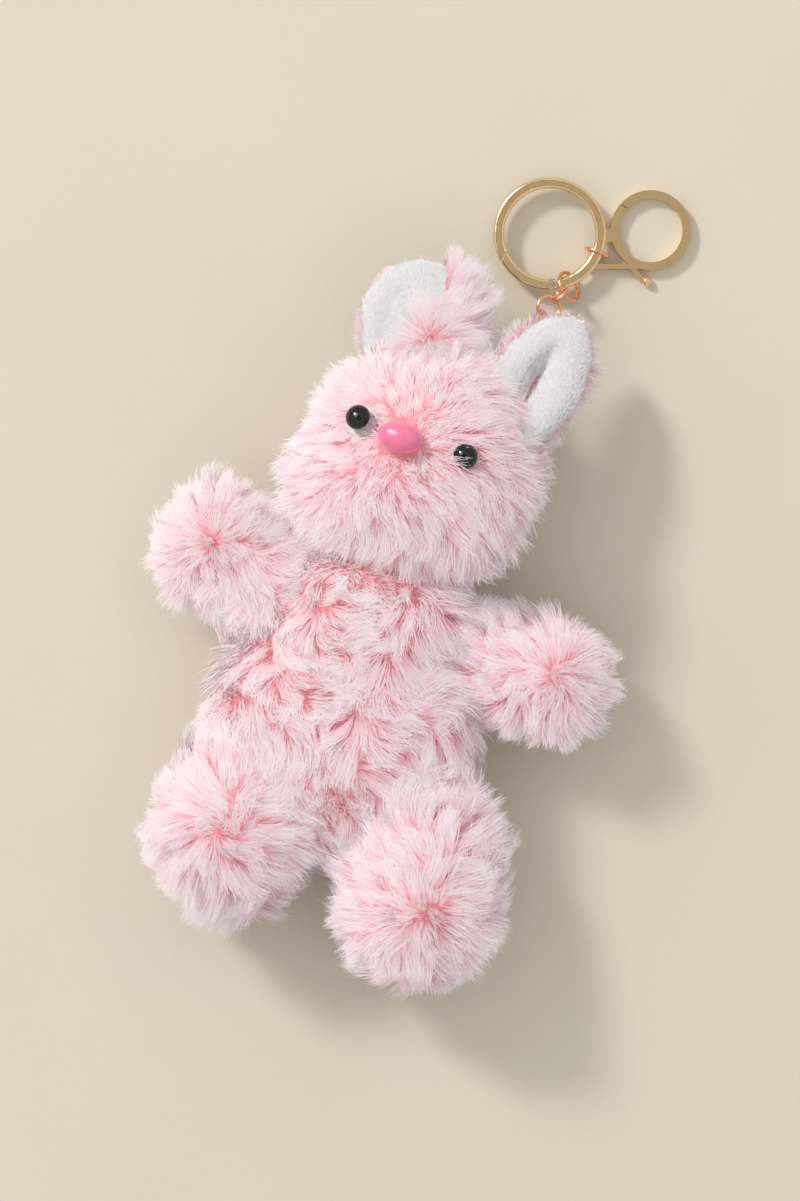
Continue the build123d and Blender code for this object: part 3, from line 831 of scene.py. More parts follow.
@dataclass
class Surface:
    """Triangles of a skin, ready to sample."""

    corners: Array
    normals: Array
    area: Array

    @classmethod
    def of(cls, skin: bpy.types.Object) -> "Surface":
        """Read a skin's triangles and corner normals.

        Args:
            skin: Object whose mesh is read.

        Returns:
            The sampled form.
        """
        mesh = skin.data
        mesh.calc_loop_triangles()
        verts = PaddedSkin.points(skin)
        index = np.empty(len(mesh.loop_triangles) * 3, np.int32)
        mesh.loop_triangles.foreach_get("vertices", index)
        index = index.reshape(-1, 3)
        normal = np.empty(len(mesh.vertices) * 3, np.float32)
        mesh.vertices.foreach_get("normal", normal)
        corners = verts[index]
        normals = normal.reshape(-1, 3).astype(float)[index]
        cross = np.cross(corners[:, 1] - corners[:, 0], corners[:, 2] - corners[:, 0])
        return cls(corners, normals, np.linalg.norm(cross, axis=1) / 2)

    def scatter(self, count: int, rng: np.random.Generator) -> tuple[Array, Array]:
        """Pick points evenly over the skin.

        Args:
            count: How many points.
            rng: Seeded random source.

        Returns:
            Points and their outward normals.
        """
        share = self.area / self.area.sum()
        pick = rng.choice(len(share), size=count, p=share)
        u, v = rng.random(count), rng.random(count)
        fold = u + v > 1
        u[fold], v[fold] = 1 - u[fold], 1 - v[fold]
        w = 1 - u - v
        weight = np.stack([w, u, v], axis=1)[:, :, None]
        points = (self.corners[pick] * weight).sum(axis=1)
        normals = unit_rows((self.normals[pick] * weight).sum(axis=1))
        return points, normals


@dataclass(frozen=True)
class Whorl:
    """A point that the pile is brushed away from, or towards when pull is negative."""

    at: tuple[float, float, float]
    pull: float = 1.0
    reach: float = 30.0
    eye: float = 0.5
    crown: float = 0.0


@dataclass(frozen=True)
class Bare:
    """A round place where pile is kept short or left off."""

    at: tuple[float, float, float]
    radius: float
    length: float = 0.0
    soft: float = 4.0


@dataclass
class Pile:
    """Brushed pile: locks of tapered strips grown from a skin."""

    name: str
    strands: int
    length: float
    seed: int
    lock_size: float = 3.0
    flow: tuple[float, float, float] = (0.0, 0.0, 0.0)
    whorls: list[Whorl] = field(default_factory=list)
    bare: list[Bare] = field(default_factory=list)
    lift_root: float = 30.0
    lift_tip: float = 78.0
    scatter: float = 0.35
    lock_turn: float = 16.0
    lock_lean: float = 9.0
    gather: float = 0.5
    curl: float = 0.45
    drift: float = 35.0
    drift_span: float = 22.0
    width: float = 0.27
    steps: int = 5
    tone: float = 1.0
    shares: tuple[float, ...] = (0.09, 0.45, 0.46)
    keep: Callable[[Array, Array], Array] | None = None
    under: float = 0.45
    short_share: float = 0.55
    short_tone: float = 0.72
    least_scale: float = 0.06

    def grow(self, skin: bpy.types.Object) -> list[bpy.types.Object]:
        """Grow the pile on a skin.

        Args:
            skin: The padded skin.

        Returns:
            The pile as one or more mesh objects.
        """
        rng = np.random.default_rng(self.seed)
        root, normal = Surface.of(skin).scatter(self.strands, rng)
        if self.keep is not None:
            held = self.keep(root, normal)
            root, normal = root[held], normal[held]
        scale = self.length_scale(root)
        held = scale > self.least_scale
        root, normal, scale = root[held], normal[held], scale[held]
        count = len(root)
        comb = self.comb(root, normal)
        stand = self.stand(root)
        locks = max(8, int(self.lock_count(skin)))
        seeds = rng.choice(count, size=min(locks, count), replace=False)
        tree = KDTree(len(seeds))
        for i, k in enumerate(seeds):
            tree.insert(root[k], i)
        tree.balance()
        lock = np.array([tree.find(p)[1] for p in root])
        turn = rng.normal(0, math.radians(self.lock_turn), len(seeds))[lock]
        turn += rng.normal(0, math.radians(7), count)
        turn += self.drift_turn(root, rng)
        across = np.cross(normal, comb)
        comb = comb * np.cos(turn)[:, None] + across * np.sin(turn)[:, None]
        lock_length = rng.uniform(0.75, 1.18, len(seeds))[lock]
        length = self.length * MM * scale * lock_length * rng.uniform(0.75, 1.1, count)
        down = rng.random(count) < self.under
        length[down] *= self.short_share
        lean = rng.normal(0, self.lock_lean, len(seeds))[lock] + rng.normal(0, 6, count)
        t = np.linspace(0, 1, self.steps)
        path = self.paths(root, normal, comb, length, (lean, stand), t)
        centre = path[seeds][lock]
        centre_root = root[seeds][lock]
        offset = root - centre_root
        toward = centre + offset[:, None, :] * 0.25
        pull = (self.gather * t**1.1 * (1.35 - 0.6 * t))[None, :, None]
        path = path * (1 - pull) + toward * pull
        path = self.frizz(path, normal, comb, length, t, rng)
        path[:, :, 2] = np.maximum(path[:, :, 2], TABLE_TOP + 0.0002 * rng.random((count, 1)))
        shade = np.where(down, self.short_tone, 1.0) * self.tone
        tag = (rng.random(len(seeds))[lock] * 0.9 + rng.random(count) * 0.1) * 0.98 + 0.01
        made = []
        share = rng.random(count)
        start = 0.0
        for part, size in enumerate(self.shares):
            pick = (share >= start) & (share < start + size)
            start += size
            values = (path[pick], normal[pick], tag[pick], shade[pick])
            made.append(self.strips(f"{self.name}_{part + 1}", *values, rng))
        return made

    def drift_turn(self, root: Array, rng: np.random.Generator) -> Array:
        """Slow swings of the brushing direction over the skin.

        Args:
            root: Root points.
            rng: Seeded random source.

        Returns:
            One turn for each root, in radians.
        """
        total = np.zeros(len(root))
        for octave in (1.0, 1.9):
            wave = unit_rows(rng.normal(size=(3, 3))) * 2 * math.pi / (self.drift_span * MM) * octave
            shift = rng.uniform(0, 2 * math.pi, 3)
            total += np.sin(root @ wave.T + shift).sum(axis=1) / octave
        return total / 2.2 * math.radians(self.drift)

    def lock_count(self, skin: bpy.types.Object) -> float:
        """How many locks cover the skin at the chosen lock size."""
        return float(Surface.of(skin).area.sum()) / (self.lock_size * MM) ** 2

    def length_scale(self, root: Array) -> Array:
        """Share of the full pile length at each root, shorter near bare places.

        Args:
            root: Root points.

        Returns:
            One share for each root.
        """
        scale = np.ones(len(root))
        for spot in self.bare:
            away = np.linalg.norm(root - np.array(spot.at) * MM, axis=1) / MM
            ramp = np.clip((away - spot.radius) / spot.soft, 0, 1)
            scale = np.minimum(scale, spot.length + (1 - spot.length) * ramp)
            if spot.length == 0:
                scale[away < spot.radius] = 0
        return scale

    def comb(self, root: Array, normal: Array) -> Array:
        """Brushing direction along the skin at each root.

        Args:
            root: Root points.
            normal: Outward normals.

        Returns:
            One unit vector for each root.
        """
        way = np.tile(np.array(self.flow, float), (len(root), 1)) + 1e-4
        for whorl in self.whorls:
            away = root - np.array(whorl.at) * MM
            distance = np.linalg.norm(away, axis=1, keepdims=True) / MM
            fade = np.exp(-((distance / whorl.reach) ** 2)) - np.exp(-((distance / whorl.eye) ** 2))
            way += whorl.pull * unit_rows(away) * fade
        way -= normal * (way * normal).sum(axis=1, keepdims=True)
        return unit_rows(way)

    def stand(self, root: Array) -> Array:
        """How far each root's strand lies down: little at the eye of a whorl, fully away from it."""
        lie = np.ones(len(root))
        for whorl in self.whorls:
            away = np.linalg.norm(root - np.array(whorl.at) * MM, axis=1) / MM
            lie = np.minimum(lie, 0.12 + 0.88 * np.clip(away / max(whorl.crown, 0.01), 0, 1))
        return lie

    def paths(
        self,
        root: Array,
        normal: Array,
        comb: Array,
        length: Array,
        lie: tuple[Array, Array],
        t: Array,
    ) -> Array:
        """Strand lines that leave the skin steeply and lie down along the brushing.

        Args:
            root: Root points.
            normal: Outward normals.
            comb: Brushing directions.
            length: Strand lengths.
            lie: Extra lean of each strand, in degrees, and how far it lies down, 0 to 1.
            t: Places along the strand, 0 to 1.

        Returns:
            An array of strand, step and coordinate.
        """
        angle = np.radians(self.lift_root + (self.lift_tip - self.lift_root) * t)[None, :]
        lean, down = lie
        angle = angle * down[:, None] + np.radians(lean)[:, None]
        step = np.diff(t, prepend=0)[None, :] * length[:, None]
        out = np.cumsum(np.cos(angle) * step, axis=1)
        along = np.cumsum(np.sin(angle) * step, axis=1)
        return (
            root[:, None, :]
            + out[:, :, None] * normal[:, None, :]
            + along[:, :, None] * comb[:, None, :]
        )

    def frizz(
        self, path: Array, normal: Array, comb: Array, length: Array, t: Array, rng: np.random.Generator
    ) -> Array:
        """Add a slow sideways wave to every strand.

        Args:
            path: Strand lines.
            normal: Outward normals.
            comb: Brushing directions.
            length: Strand lengths; not used.
            t: Places along the strand.
            rng: Seeded random source.

        Returns:
            The waved strand lines.
        """
        count = len(path)
        across = np.cross(normal, comb)
        phase = rng.uniform(0, 2 * math.pi, (count, 2))
        turns = rng.uniform(0.5, 1.3, (count, 2)) * 2 * math.pi
        reach = self.curl * MM * rng.uniform(0.3, 1.6, count)[:, None]
        side = np.sin(turns[:, :1] * t + phase[:, :1]) * reach * t
        rise = np.cos(turns[:, 1:] * t + phase[:, 1:]) * reach * t * 0.7
        spread = rng.normal(0, self.scatter * MM, (count, 2))
        side = side + spread[:, :1] * t**0.8 * 2
        rise = rise + np.abs(spread[:, 1:]) * t
        return path + side[:, :, None] * across[:, None, :] + rise[:, :, None] * normal[:, None, :]

    def strips(
        self,
        label: str,
        path: Array,
        normal: Array,
        tag: Array,
        shade: Array,
        rng: np.random.Generator,
    ) -> bpy.types.Object:
        """Turn strand lines into tapered strips with a root-to-tip map.

        Args:
            label: Name of the new object.
            path: Strand lines.
            normal: Outward normals.
            tag: Colour tag of each strand, 0 to 1.
            shade: How far along the root-to-tip colours each strand reaches.
            rng: Seeded random source.

        Returns:
            The pile object.
        """
        count, steps, _ = path.shape
        tangent = np.gradient(path, axis=1)
        tangent = unit_rows(tangent.reshape(-1, 3)).reshape(path.shape)
        across = np.cross(tangent, normal[:, None, :])
        across = unit_rows(across.reshape(-1, 3)).reshape(path.shape)
        up = np.cross(across, tangent)
        roll = rng.uniform(-0.9, 0.9, count)[:, None, None]
        across = across * np.cos(roll) + up * np.sin(roll)
        t = np.linspace(0, 1, steps)
        taper = (1 - t**2.2) * 0.92 + 0.08
        half = 0.5 * self.width * MM * rng.uniform(0.6, 1.3, count)[:, None] * taper[None, :]
        left = path - across * half[:, :, None]
        right = path + across * half[:, :, None]
        verts = np.stack([left, right], axis=2).reshape(-1, 3)
        base = (np.arange(count) * steps * 2)[:, None] + (np.arange(steps - 1) * 2)[None, :]
        quads = np.stack([base, base + 1, base + 3, base + 2], axis=2).reshape(-1, 4)
        mesh = bpy.data.meshes.new(label)
        mesh.vertices.add(len(verts))
        mesh.vertices.foreach_set("co", verts.astype(np.float32).ravel())
        mesh.loops.add(quads.size)
        mesh.loops.foreach_set("vertex_index", quads.astype(np.int32).ravel())
        mesh.polygons.add(len(quads))
        starts = np.arange(0, quads.size, 4, dtype=np.int32)
        mesh.polygons.foreach_set("loop_start", starts)
        mesh.polygons.foreach_set("loop_total", np.full(len(quads), 4, np.int32))
        mesh.update(calc_edges=True)
        edge = np.clip(tag[:, None] + np.array([-0.004, 0.004])[None, :], 0.001, 0.999)
        rise = (0.002 + 0.996 * t[None, :] * np.clip(shade, 0, 1)[:, None])
        uv = np.empty((count, steps, 2, 2))
        uv[:, :, :, 0] = edge[:, None, :]
        uv[:, :, :, 1] = rise[:, :, None]
        layer = mesh.uv_layers.new(name=PILE_MAP)
        layer.data.foreach_set("uv", uv.reshape(-1, 2)[quads.ravel()].astype(np.float32).ravel())
        pile = new_mesh_object(label, mesh)
        smooth_shade(pile)
        face = np.repeat(normal, steps * 2, axis=0)
        lift = np.repeat(tangent.reshape(-1, 3), 2, axis=0)
        lit = face * 0.42 + lift * 0.14 + np.array([-0.08, 0.12, 0.5])
        lit[:, 2] = np.maximum(lit[:, 2], 0.3)
        lit = unit_rows(lit)
        mesh.normals_split_custom_set_from_vertices(lit.astype(np.float32))
        return pile


# ---------------------------------------------------------------- sub-assemblies


@dataclass
class Plush:
    """Shared work of the stuffed sub-assemblies."""

    wardrobe: Wardrobe

    def cover(
        self,
        body: str,
        skin: PaddedSkin,
        piles: Sequence[tuple[Pile, FibreFinish]],
        nodes: Sequence[str],
        fill: float,
    ) -> bpy.types.Object:
        """Build a skin and its pile and hang both on a body.

        Args:
            body: Body that the pieces ride on.
            skin: The padded skin.
            piles: Pile and finish of each coat.
            nodes: Plain nodes that the skin stands for.
            fill: How tightly it is stuffed, 0 to 1; not used.

        Returns:
            The skin.
        """
        form = skin.build()
        dress(form, self.wardrobe[BACKING])
        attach(form, body)
        for pile, finish in piles:
            self.coat(body, form, pile, finish)
        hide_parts(*nodes)
        return form

    def coat(self, body: str, form: bpy.types.Object, pile: Pile, finish: FibreFinish) -> None:
        """Grow one coat on a skin and hang it on a body.

        Args:
            body: Body that the coat rides on.
            form: The skin.
            pile: How the coat grows.
            finish: Its colours.
        """
        for i, coat in enumerate(pile.grow(form)):
            dress(coat, self.wardrobe[finish])
            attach(coat, body)
            coat.visible_shadow = i == 0 and finish is not EAR_PLUSH
            LOG.info("%s: %d strips", coat.name, len(coat.data.polygons) // (pile.steps - 1))


@dataclass
class Head(Plush):
    """Head: padded skin, brushed pile parted round the eyes and nose."""

    pile_length: float = 10.5
    strands: int = 46000

    def build(self) -> None:
        """Build the head."""
        low, high = extent(["head_front_cover", "head_back_cover"])
        centre = (low + high) / 2 / MM
        half = (high - low) / 2 / MM
        cx, cy, cz = centre
        eyes = [middle(f"eye_{side.value}") / MM for side in Side]
        nose = middle("nose") / MM
        top = high[2] / MM
        skin = PaddedSkin(
            "head_skin",
            [
                Blob((cx + 2.6, cy + 0.6, cz), (half[0] - 4.0, half[1] - 2.2, half[2] - 1.5)),
                Blob((cx - 10, cy - 10, cz + 1), (21, 19, 22)),
                Blob((cx + 13, cy - 7, cz + 1), (20, 19, 21)),
                Blob((nose[0], nose[1] - 3, cz + 8), (15, 14, half[2] - 9.5)),
            ],
        )
        bare = [Bare(tuple(p), 2.1, 0.0, 3.2) for p in eyes]
        bare.append(Bare(tuple(nose), 5.0, 0.0, 12.0))
        bare.append(Bare((nose[0], nose[1] - 9, top), 1.0, 0.5, 10.0))
        roots = [extent([f"ear_{side.value}_outer", f"ear_{side.value}_lining"]) for side in Side]
        for low, high in roots:
            foot = ((low[0] + high[0]) / 2 / MM, low[1] / MM + 2, top - 8)
            bare.append(Bare(foot, 3.0, 0.25, 11.0))
        face = Pile(
            "head_pile",
            self.strands,
            self.pile_length,
            seed=11,
            whorls=[
                Whorl((nose[0], nose[1] + 1, top - 6), 1.0, 60.0),
                Whorl(tuple(eyes[0]), 0.2, 5.0),
                Whorl(tuple(eyes[1]), 0.2, 5.0),
            ],
            bare=bare,
            flow=(0.0, -0.12, 0.0),
        )
        nodes = ["head_front_cover", "head_back_cover", "head_stuffing"]
        self.cover("head", skin, [(face, LONG_PILE)], nodes, 0.8)


@dataclass
class Torso(Plush):
    """Torso: pear-shaped skin with pile brushed down and aside."""

    pile_length: float = 11.5
    strands: int = 48000

    def build(self) -> None:
        """Build the torso."""
        low, high = extent(["torso_front_cover", "torso_back_cover"])
        centre = (low + high) / 2 / MM
        half = (high - low) / 2 / MM
        cx, cy, cz = centre
        skin = PaddedSkin(
            "torso_skin",
            [
                Blob((cx, cy - 5, cz), (half[0] - 2, half[1] - 5, half[2] - 1)),
                Blob((cx - 2, cy + 20, cz), (27, 20, 20)),
                Blob((cx - 1, cy + 31, cz + 1), (27, 13, 20)),
            ],
        )
        seams = self.seams(cz + half[2] - 4)

        def near(root: Array, normal: Array) -> Array:
            """True close to a seam corner."""
            close = np.zeros(len(root), bool)
            for at, reach in seams:
                close |= np.linalg.norm(root[:, :2] / MM - np.array(at[:2]), axis=1) < reach
            return close & (normal[:, 2] > -0.2)

        pile = Pile(
            "torso_pile",
            self.strands,
            self.pile_length,
            seed=21,
            lock_size=4.2,
            flow=(0.55, -0.6, 0.0),
            lock_turn=24,
            drift=60,
            bare=[Bare(at, reach * 0.45, 0.35, reach * 0.9) for at, reach in seams],
        )
        # short curly pile at the seam corners: real seam fur, with painted shade in its deeper pink colour
        curls = Pile(
            "torso_seam_pile_and_shade",
            16000,
            6.0,
            seed=22,
            lock_size=2.2,
            flow=(0.2, -0.3, 0.0),
            lift_root=15,
            lift_tip=60,
            lock_turn=80,
            curl=1.3,
            shares=(0.5, 0.5),
            keep=near,
        )
        nodes = ["torso_front_cover", "torso_back_cover", "torso_stuffing"]
        coats = [(pile, LONG_PILE), (curls, SEAM_PILE_AND_SHADE)]
        self.cover("torso", skin, coats, nodes, 0.7)


    def seams(self, top: float) -> list[tuple[tuple[float, float, float], float]]:
        """Seam corners of the torso: both armpits, the throat and the crotch, with a reach each.

        Args:
            top: Height of the torso's front, in millimetres.

        Returns:
            Place and reach of each corner, in millimetres.
        """
        neck = middle("torso_front_cover") / MM
        arms = [middle(f"arm_{side.value}_cover") / MM for side in Side]
        legs = [middle(f"leg_{side.value}_cover") / MM for side in Side]
        crotch = (legs[0] + legs[1]) / 2
        return [
            ((arms[0][0] + 16, arms[0][1] - 2, top - 6), 11.0),
            ((arms[1][0] - 16, arms[1][1] - 2, top - 6), 7.0),
            ((neck[0] - 3, neck[1] + 37, top - 4), 9.0),
            ((crotch[0] - 4, crotch[1] + 16, top), 9.0),
        ]


@dataclass
class Arm(Plush):
    """One arm: a round paw on a short stub, pile whorled from the paw's top."""

    side: Side = Side.LEFT
    pile_length: float = 10.5
    strands: int = 30000
    shift: dict[Side, tuple[float, float]] = field(
        default_factory=lambda: {Side.LEFT: (3.6, 2.4), Side.RIGHT: (-3.0, -1.6)}
    )

    def build(self) -> None:
        """Build the arm."""
        body = f"arm_{self.side.value}"
        low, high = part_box(f"{body}_cover")
        low, high = np.array(low) / MM, np.array(high) / MM
        sign = -1 if self.side is Side.LEFT else 1
        height = (low[2] + high[2]) / 2
        radius = (high[2] - low[2]) / 2
        outer = low[0] + radius if sign < 0 else high[0] - radius
        inner = high[0] - 9 if sign < 0 else low[0] + 9
        paw_y = high[1] - radius
        shift = self.shift[self.side]
        paw = (outer + shift[0], paw_y + shift[1], height)
        skin = PaddedSkin(
            f"{body}_skin",
            [
                Blob(paw, (radius - 2, radius - 1, radius - 2)),
                Blob(((paw[0] + inner) / 2, (paw[1] + paw_y) / 2 - 2.5, height), (15, 14.5, 14)),
                Blob((inner, paw_y - 4.5, height + 1), (13, 14, 15)),
            ],
        )
        pile = Pile(
            f"{body}_pile",
            self.strands,
            self.pile_length,
            seed=31 if self.side is Side.LEFT else 32,
            whorls=[Whorl((paw[0] + sign * 2, paw[1] + 1, height + radius), 1.0, 60.0, 6.0, 13.0)],
            flow=(0.1 * sign, 0.0, 0.0),
            lock_turn=24,
            lock_lean=12,
            drift=42,
            lock_size=3.4,
        )
        self.cover(
            body, skin, [(pile, LONG_PILE)], [f"{body}_cover", f"{body}_stuffing"], 0.8
        )


@dataclass
class Leg(Plush):
    """One leg: a round foot with the pile whorled from its upturned top."""

    side: Side = Side.LEFT
    pile_length: float = 11.0
    strands: int = 42000
    shift: dict[Side, tuple[float, float]] = field(
        default_factory=lambda: {Side.LEFT: (0.6, 6.4), Side.RIGHT: (0.0, 2.8)}
    )

    def build(self) -> None:
        """Build the leg."""
        body = f"leg_{self.side.value}"
        low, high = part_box(f"{body}_cover")
        low, high = np.array(low) / MM, np.array(high) / MM
        height = (low[2] + high[2]) / 2
        radius = (high[2] - low[2]) / 2
        sign = -1 if self.side is Side.LEFT else 1
        shift = self.shift[self.side]
        foot_x = (low[0] + radius if sign < 0 else high[0] - radius) + shift[0]
        foot_y = low[1] + radius + shift[1]
        hip_x = high[0] - 15 if sign < 0 else low[0] + 15
        hip_y = high[1] - 15
        skin = PaddedSkin(
            f"{body}_skin",
            [
                Blob((foot_x, foot_y, height), (radius - 1.5, radius - 1.5, radius - 1)),
                Blob(((foot_x * 1.2 + hip_x * 0.8) / 2, (foot_y + hip_y) / 2, height), (20.5, 20, 20)),
                Blob((hip_x + sign * 2, hip_y, height), (18, 17, 18)),
            ],
        )
        pile = Pile(
            f"{body}_pile",
            self.strands,
            self.pile_length,
            seed=41 if self.side is Side.LEFT else 42,
            whorls=[Whorl((foot_x + sign * 3, foot_y - 1, height + radius), 1.0, 70.0, 7.0, 15.0)],
            flow=(0.0, 0.0, 0.0),
            lock_turn=26,
            lock_lean=12,
            drift=50,
            lock_size=3.8,
        )
        self.cover(
            body, skin, [(pile, LONG_PILE)], [f"{body}_cover", f"{body}_stuffing"], 0.85
        )


@dataclass
class Hardware:
    """Rings, links, clasp, springs, beads, washers and tape carried over from the frame."""

    wardrobe: Wardrobe
    nodes: dict[str, bpy.types.Object]
    rounded: dict[str, float] = field(
        default_factory=lambda: {"clasp_body": 0.5, "clasp_trigger": 0.25, "key_ring_body": 0.3}
    )

    def dress_all(self) -> None:
        """Give every shown frame node its finish."""
        finishes = {
            "key_ring_body": PALE_GOLD,
            "key_ring_gate": PALE_GOLD,
            "clasp_body": PALE_GOLD,
            "clasp_trigger": PALE_GOLD,
            "key_ring_gate_pin": STEEL,
            "key_ring_gate_spring": STEEL,
            "clasp_rivet": PALE_GOLD,
            "clasp_spring": STEEL,
            "ring_link": ROSE_GOLD,
            "chain_link": ROSE_GOLD,
            "loop_ring": ROSE_GOLD,
            "clasp_link": ROSE_GOLD,
            "hang_loop": TAPE,
            "nose": NOSE_GLOSS,
            "eye_left": EYE_GLOSS,
            "eye_right": EYE_GLOSS,
            "eye_washer_left": WASHER_PLASTIC,
            "eye_washer_right": WASHER_PLASTIC,
            "nose_washer": WASHER_PLASTIC,
        }
        for name, finish in finishes.items():
            dress(self.nodes[name], self.wardrobe[finish])
            LOG.info("%s: %s", name, finish.name)
        for name, width in self.rounded.items():
            self.round_edges(self.nodes[name], width)

    def round_edges(self, node: bpy.types.Object, width: float) -> None:
        """Break the sharp edges of a cast part so that they catch the light.

        Args:
            node: The part.
            width: Width of the rounding, in millimetres.
        """
        bevel = node.modifiers.new("rounded", "BEVEL")
        bevel.width = width * MM
        bevel.segments = 3
        bevel.limit_method = "ANGLE"
        bevel.angle_limit = math.radians(40)
        bevel.use_clamp_overlap = True
        bevel.harden_normals = True


@dataclass(frozen=True)
class EarShape:
    """Padded ear outline in its own frame: root at zero, length along the ear, width across it."""

    root: tuple[float, float, float]
    lean: float
    length: float
    width: float
    thick: float
    crease: float
    crease_side: float
    lean_up: float
    profile: tuple[tuple[float, float], ...] = (
        (0.0, 0.62),
        (0.2, 0.86),
        (0.42, 1.0),
        (0.62, 0.96),
        (0.82, 0.74),
        (0.93, 0.48),
        (1.0, 0.12),
    )
    rows: int = 40
    columns: int = 36

    def half_width(self, along: Array) -> Array:
        """Half width of the outline at shares of the length."""
        places, shares = zip(*self.profile)
        return np.interp(along, places, shares) * self.width / 2

    def to_row(self, local: Array) -> Array:
        """Carry ear-frame points, in millimetres, into the row frame, in metres."""
        turn = math.radians(self.lean)
        along = np.array([-math.sin(turn), math.cos(turn), 0.0])
        across = np.array([math.cos(turn), math.sin(turn), 0.0])
        up = np.array([0.0, 0.0, 1.0])
        place = np.array(self.root) + local[:, :1] * along + local[:, 1:2] * across
        return (place + local[:, 2:3] * up) * MM

    def to_local(self, points: Array) -> tuple[Array, Array]:
        """Shares along and across the ear of row-frame points.

        Args:
            points: Points in the row frame, in metres.

        Returns:
            Share along the ear, and share across it from -1 to 1.
        """
        turn = math.radians(self.lean)
        offset = points / MM - np.array(self.root)
        along = -offset[:, 0] * math.sin(turn) + offset[:, 1] * math.cos(turn)
        across = offset[:, 0] * math.cos(turn) + offset[:, 1] * math.sin(turn)
        share = np.clip(along / self.length, 0, 1)
        return along / self.length, across / np.maximum(self.half_width(share), 0.5)

    def height(self, v: Array, u: Array) -> Array:
        """Height of the padded front over the ear's middle plane."""
        pad = np.sqrt(np.clip(1 - np.abs(u) ** 3.2, 0, 1)) * np.sqrt(np.clip(1.04 - v**6, 0, 1))
        groove = np.exp(-(((u - self.crease_side) / 0.2) ** 2)) * np.clip((0.82 - v) / 0.3, 0, 1)
        wide = np.exp(-(((u - self.crease_side) / 0.5) ** 2)) * np.clip((0.86 - v) / 0.4, 0, 1)
        rise = self.lean_up * (v - 0.3)
        return self.thick * pad - self.crease * (groove * 0.7 + wide * 0.3) + rise

    def build(self, name: str) -> bpy.types.Object:
        """Make the closed ear pad.

        Args:
            name: Name of the object.

        Returns:
            The ear pad.
        """
        v, u = np.meshgrid(
            np.linspace(0, 1, self.rows), np.linspace(-1, 1, self.columns), indexing="ij"
        )
        side = np.sign(u) * np.sin(np.abs(u) * math.pi / 2)
        along = self.length * np.sin(v * math.pi / 2)
        share = along / self.length
        across = self.half_width(share) * side
        top = self.height(share, side)
        low = self.lean_up * (share - 0.3) - 1.6 * np.sqrt(np.clip(1 - np.abs(side) ** 3, 0, 1))
        fields = [np.stack([along, across, z], axis=2).reshape(-1, 3) for z in (top, low)]
        points = self.to_row(np.concatenate(fields))
        count = self.rows * self.columns
        faces = []
        for i in range(self.rows - 1):
            for j in range(self.columns - 1):
                a = i * self.columns + j
                b = a + self.columns
                faces.append((a, a + 1, b + 1, b))
                faces.append((count + a, count + b, count + b + 1, count + a + 1))
        rim = [i * self.columns for i in range(self.rows)]
        rim += [(self.rows - 1) * self.columns + j for j in range(1, self.columns)]
        rim += [i * self.columns + self.columns - 1 for i in range(self.rows - 2, -1, -1)]
        rim += [j for j in range(self.columns - 2, 0, -1)]
        for a, b in zip(rim, rim[1:] + rim[:1]):
            faces.append((a, b, count + b, count + a))
        mesh = bpy.data.meshes.new(name)
        mesh.from_pydata([tuple(point) for point in points], [], faces)
        mesh.validate()
        pad = new_mesh_object(name, mesh)
        soften = pad.modifiers.new("soften", "SMOOTH")
        soften.factor = 0.5
        soften.iterations = 2
        apply_modifiers(pad)
        smooth_shade(pad)
        return pad


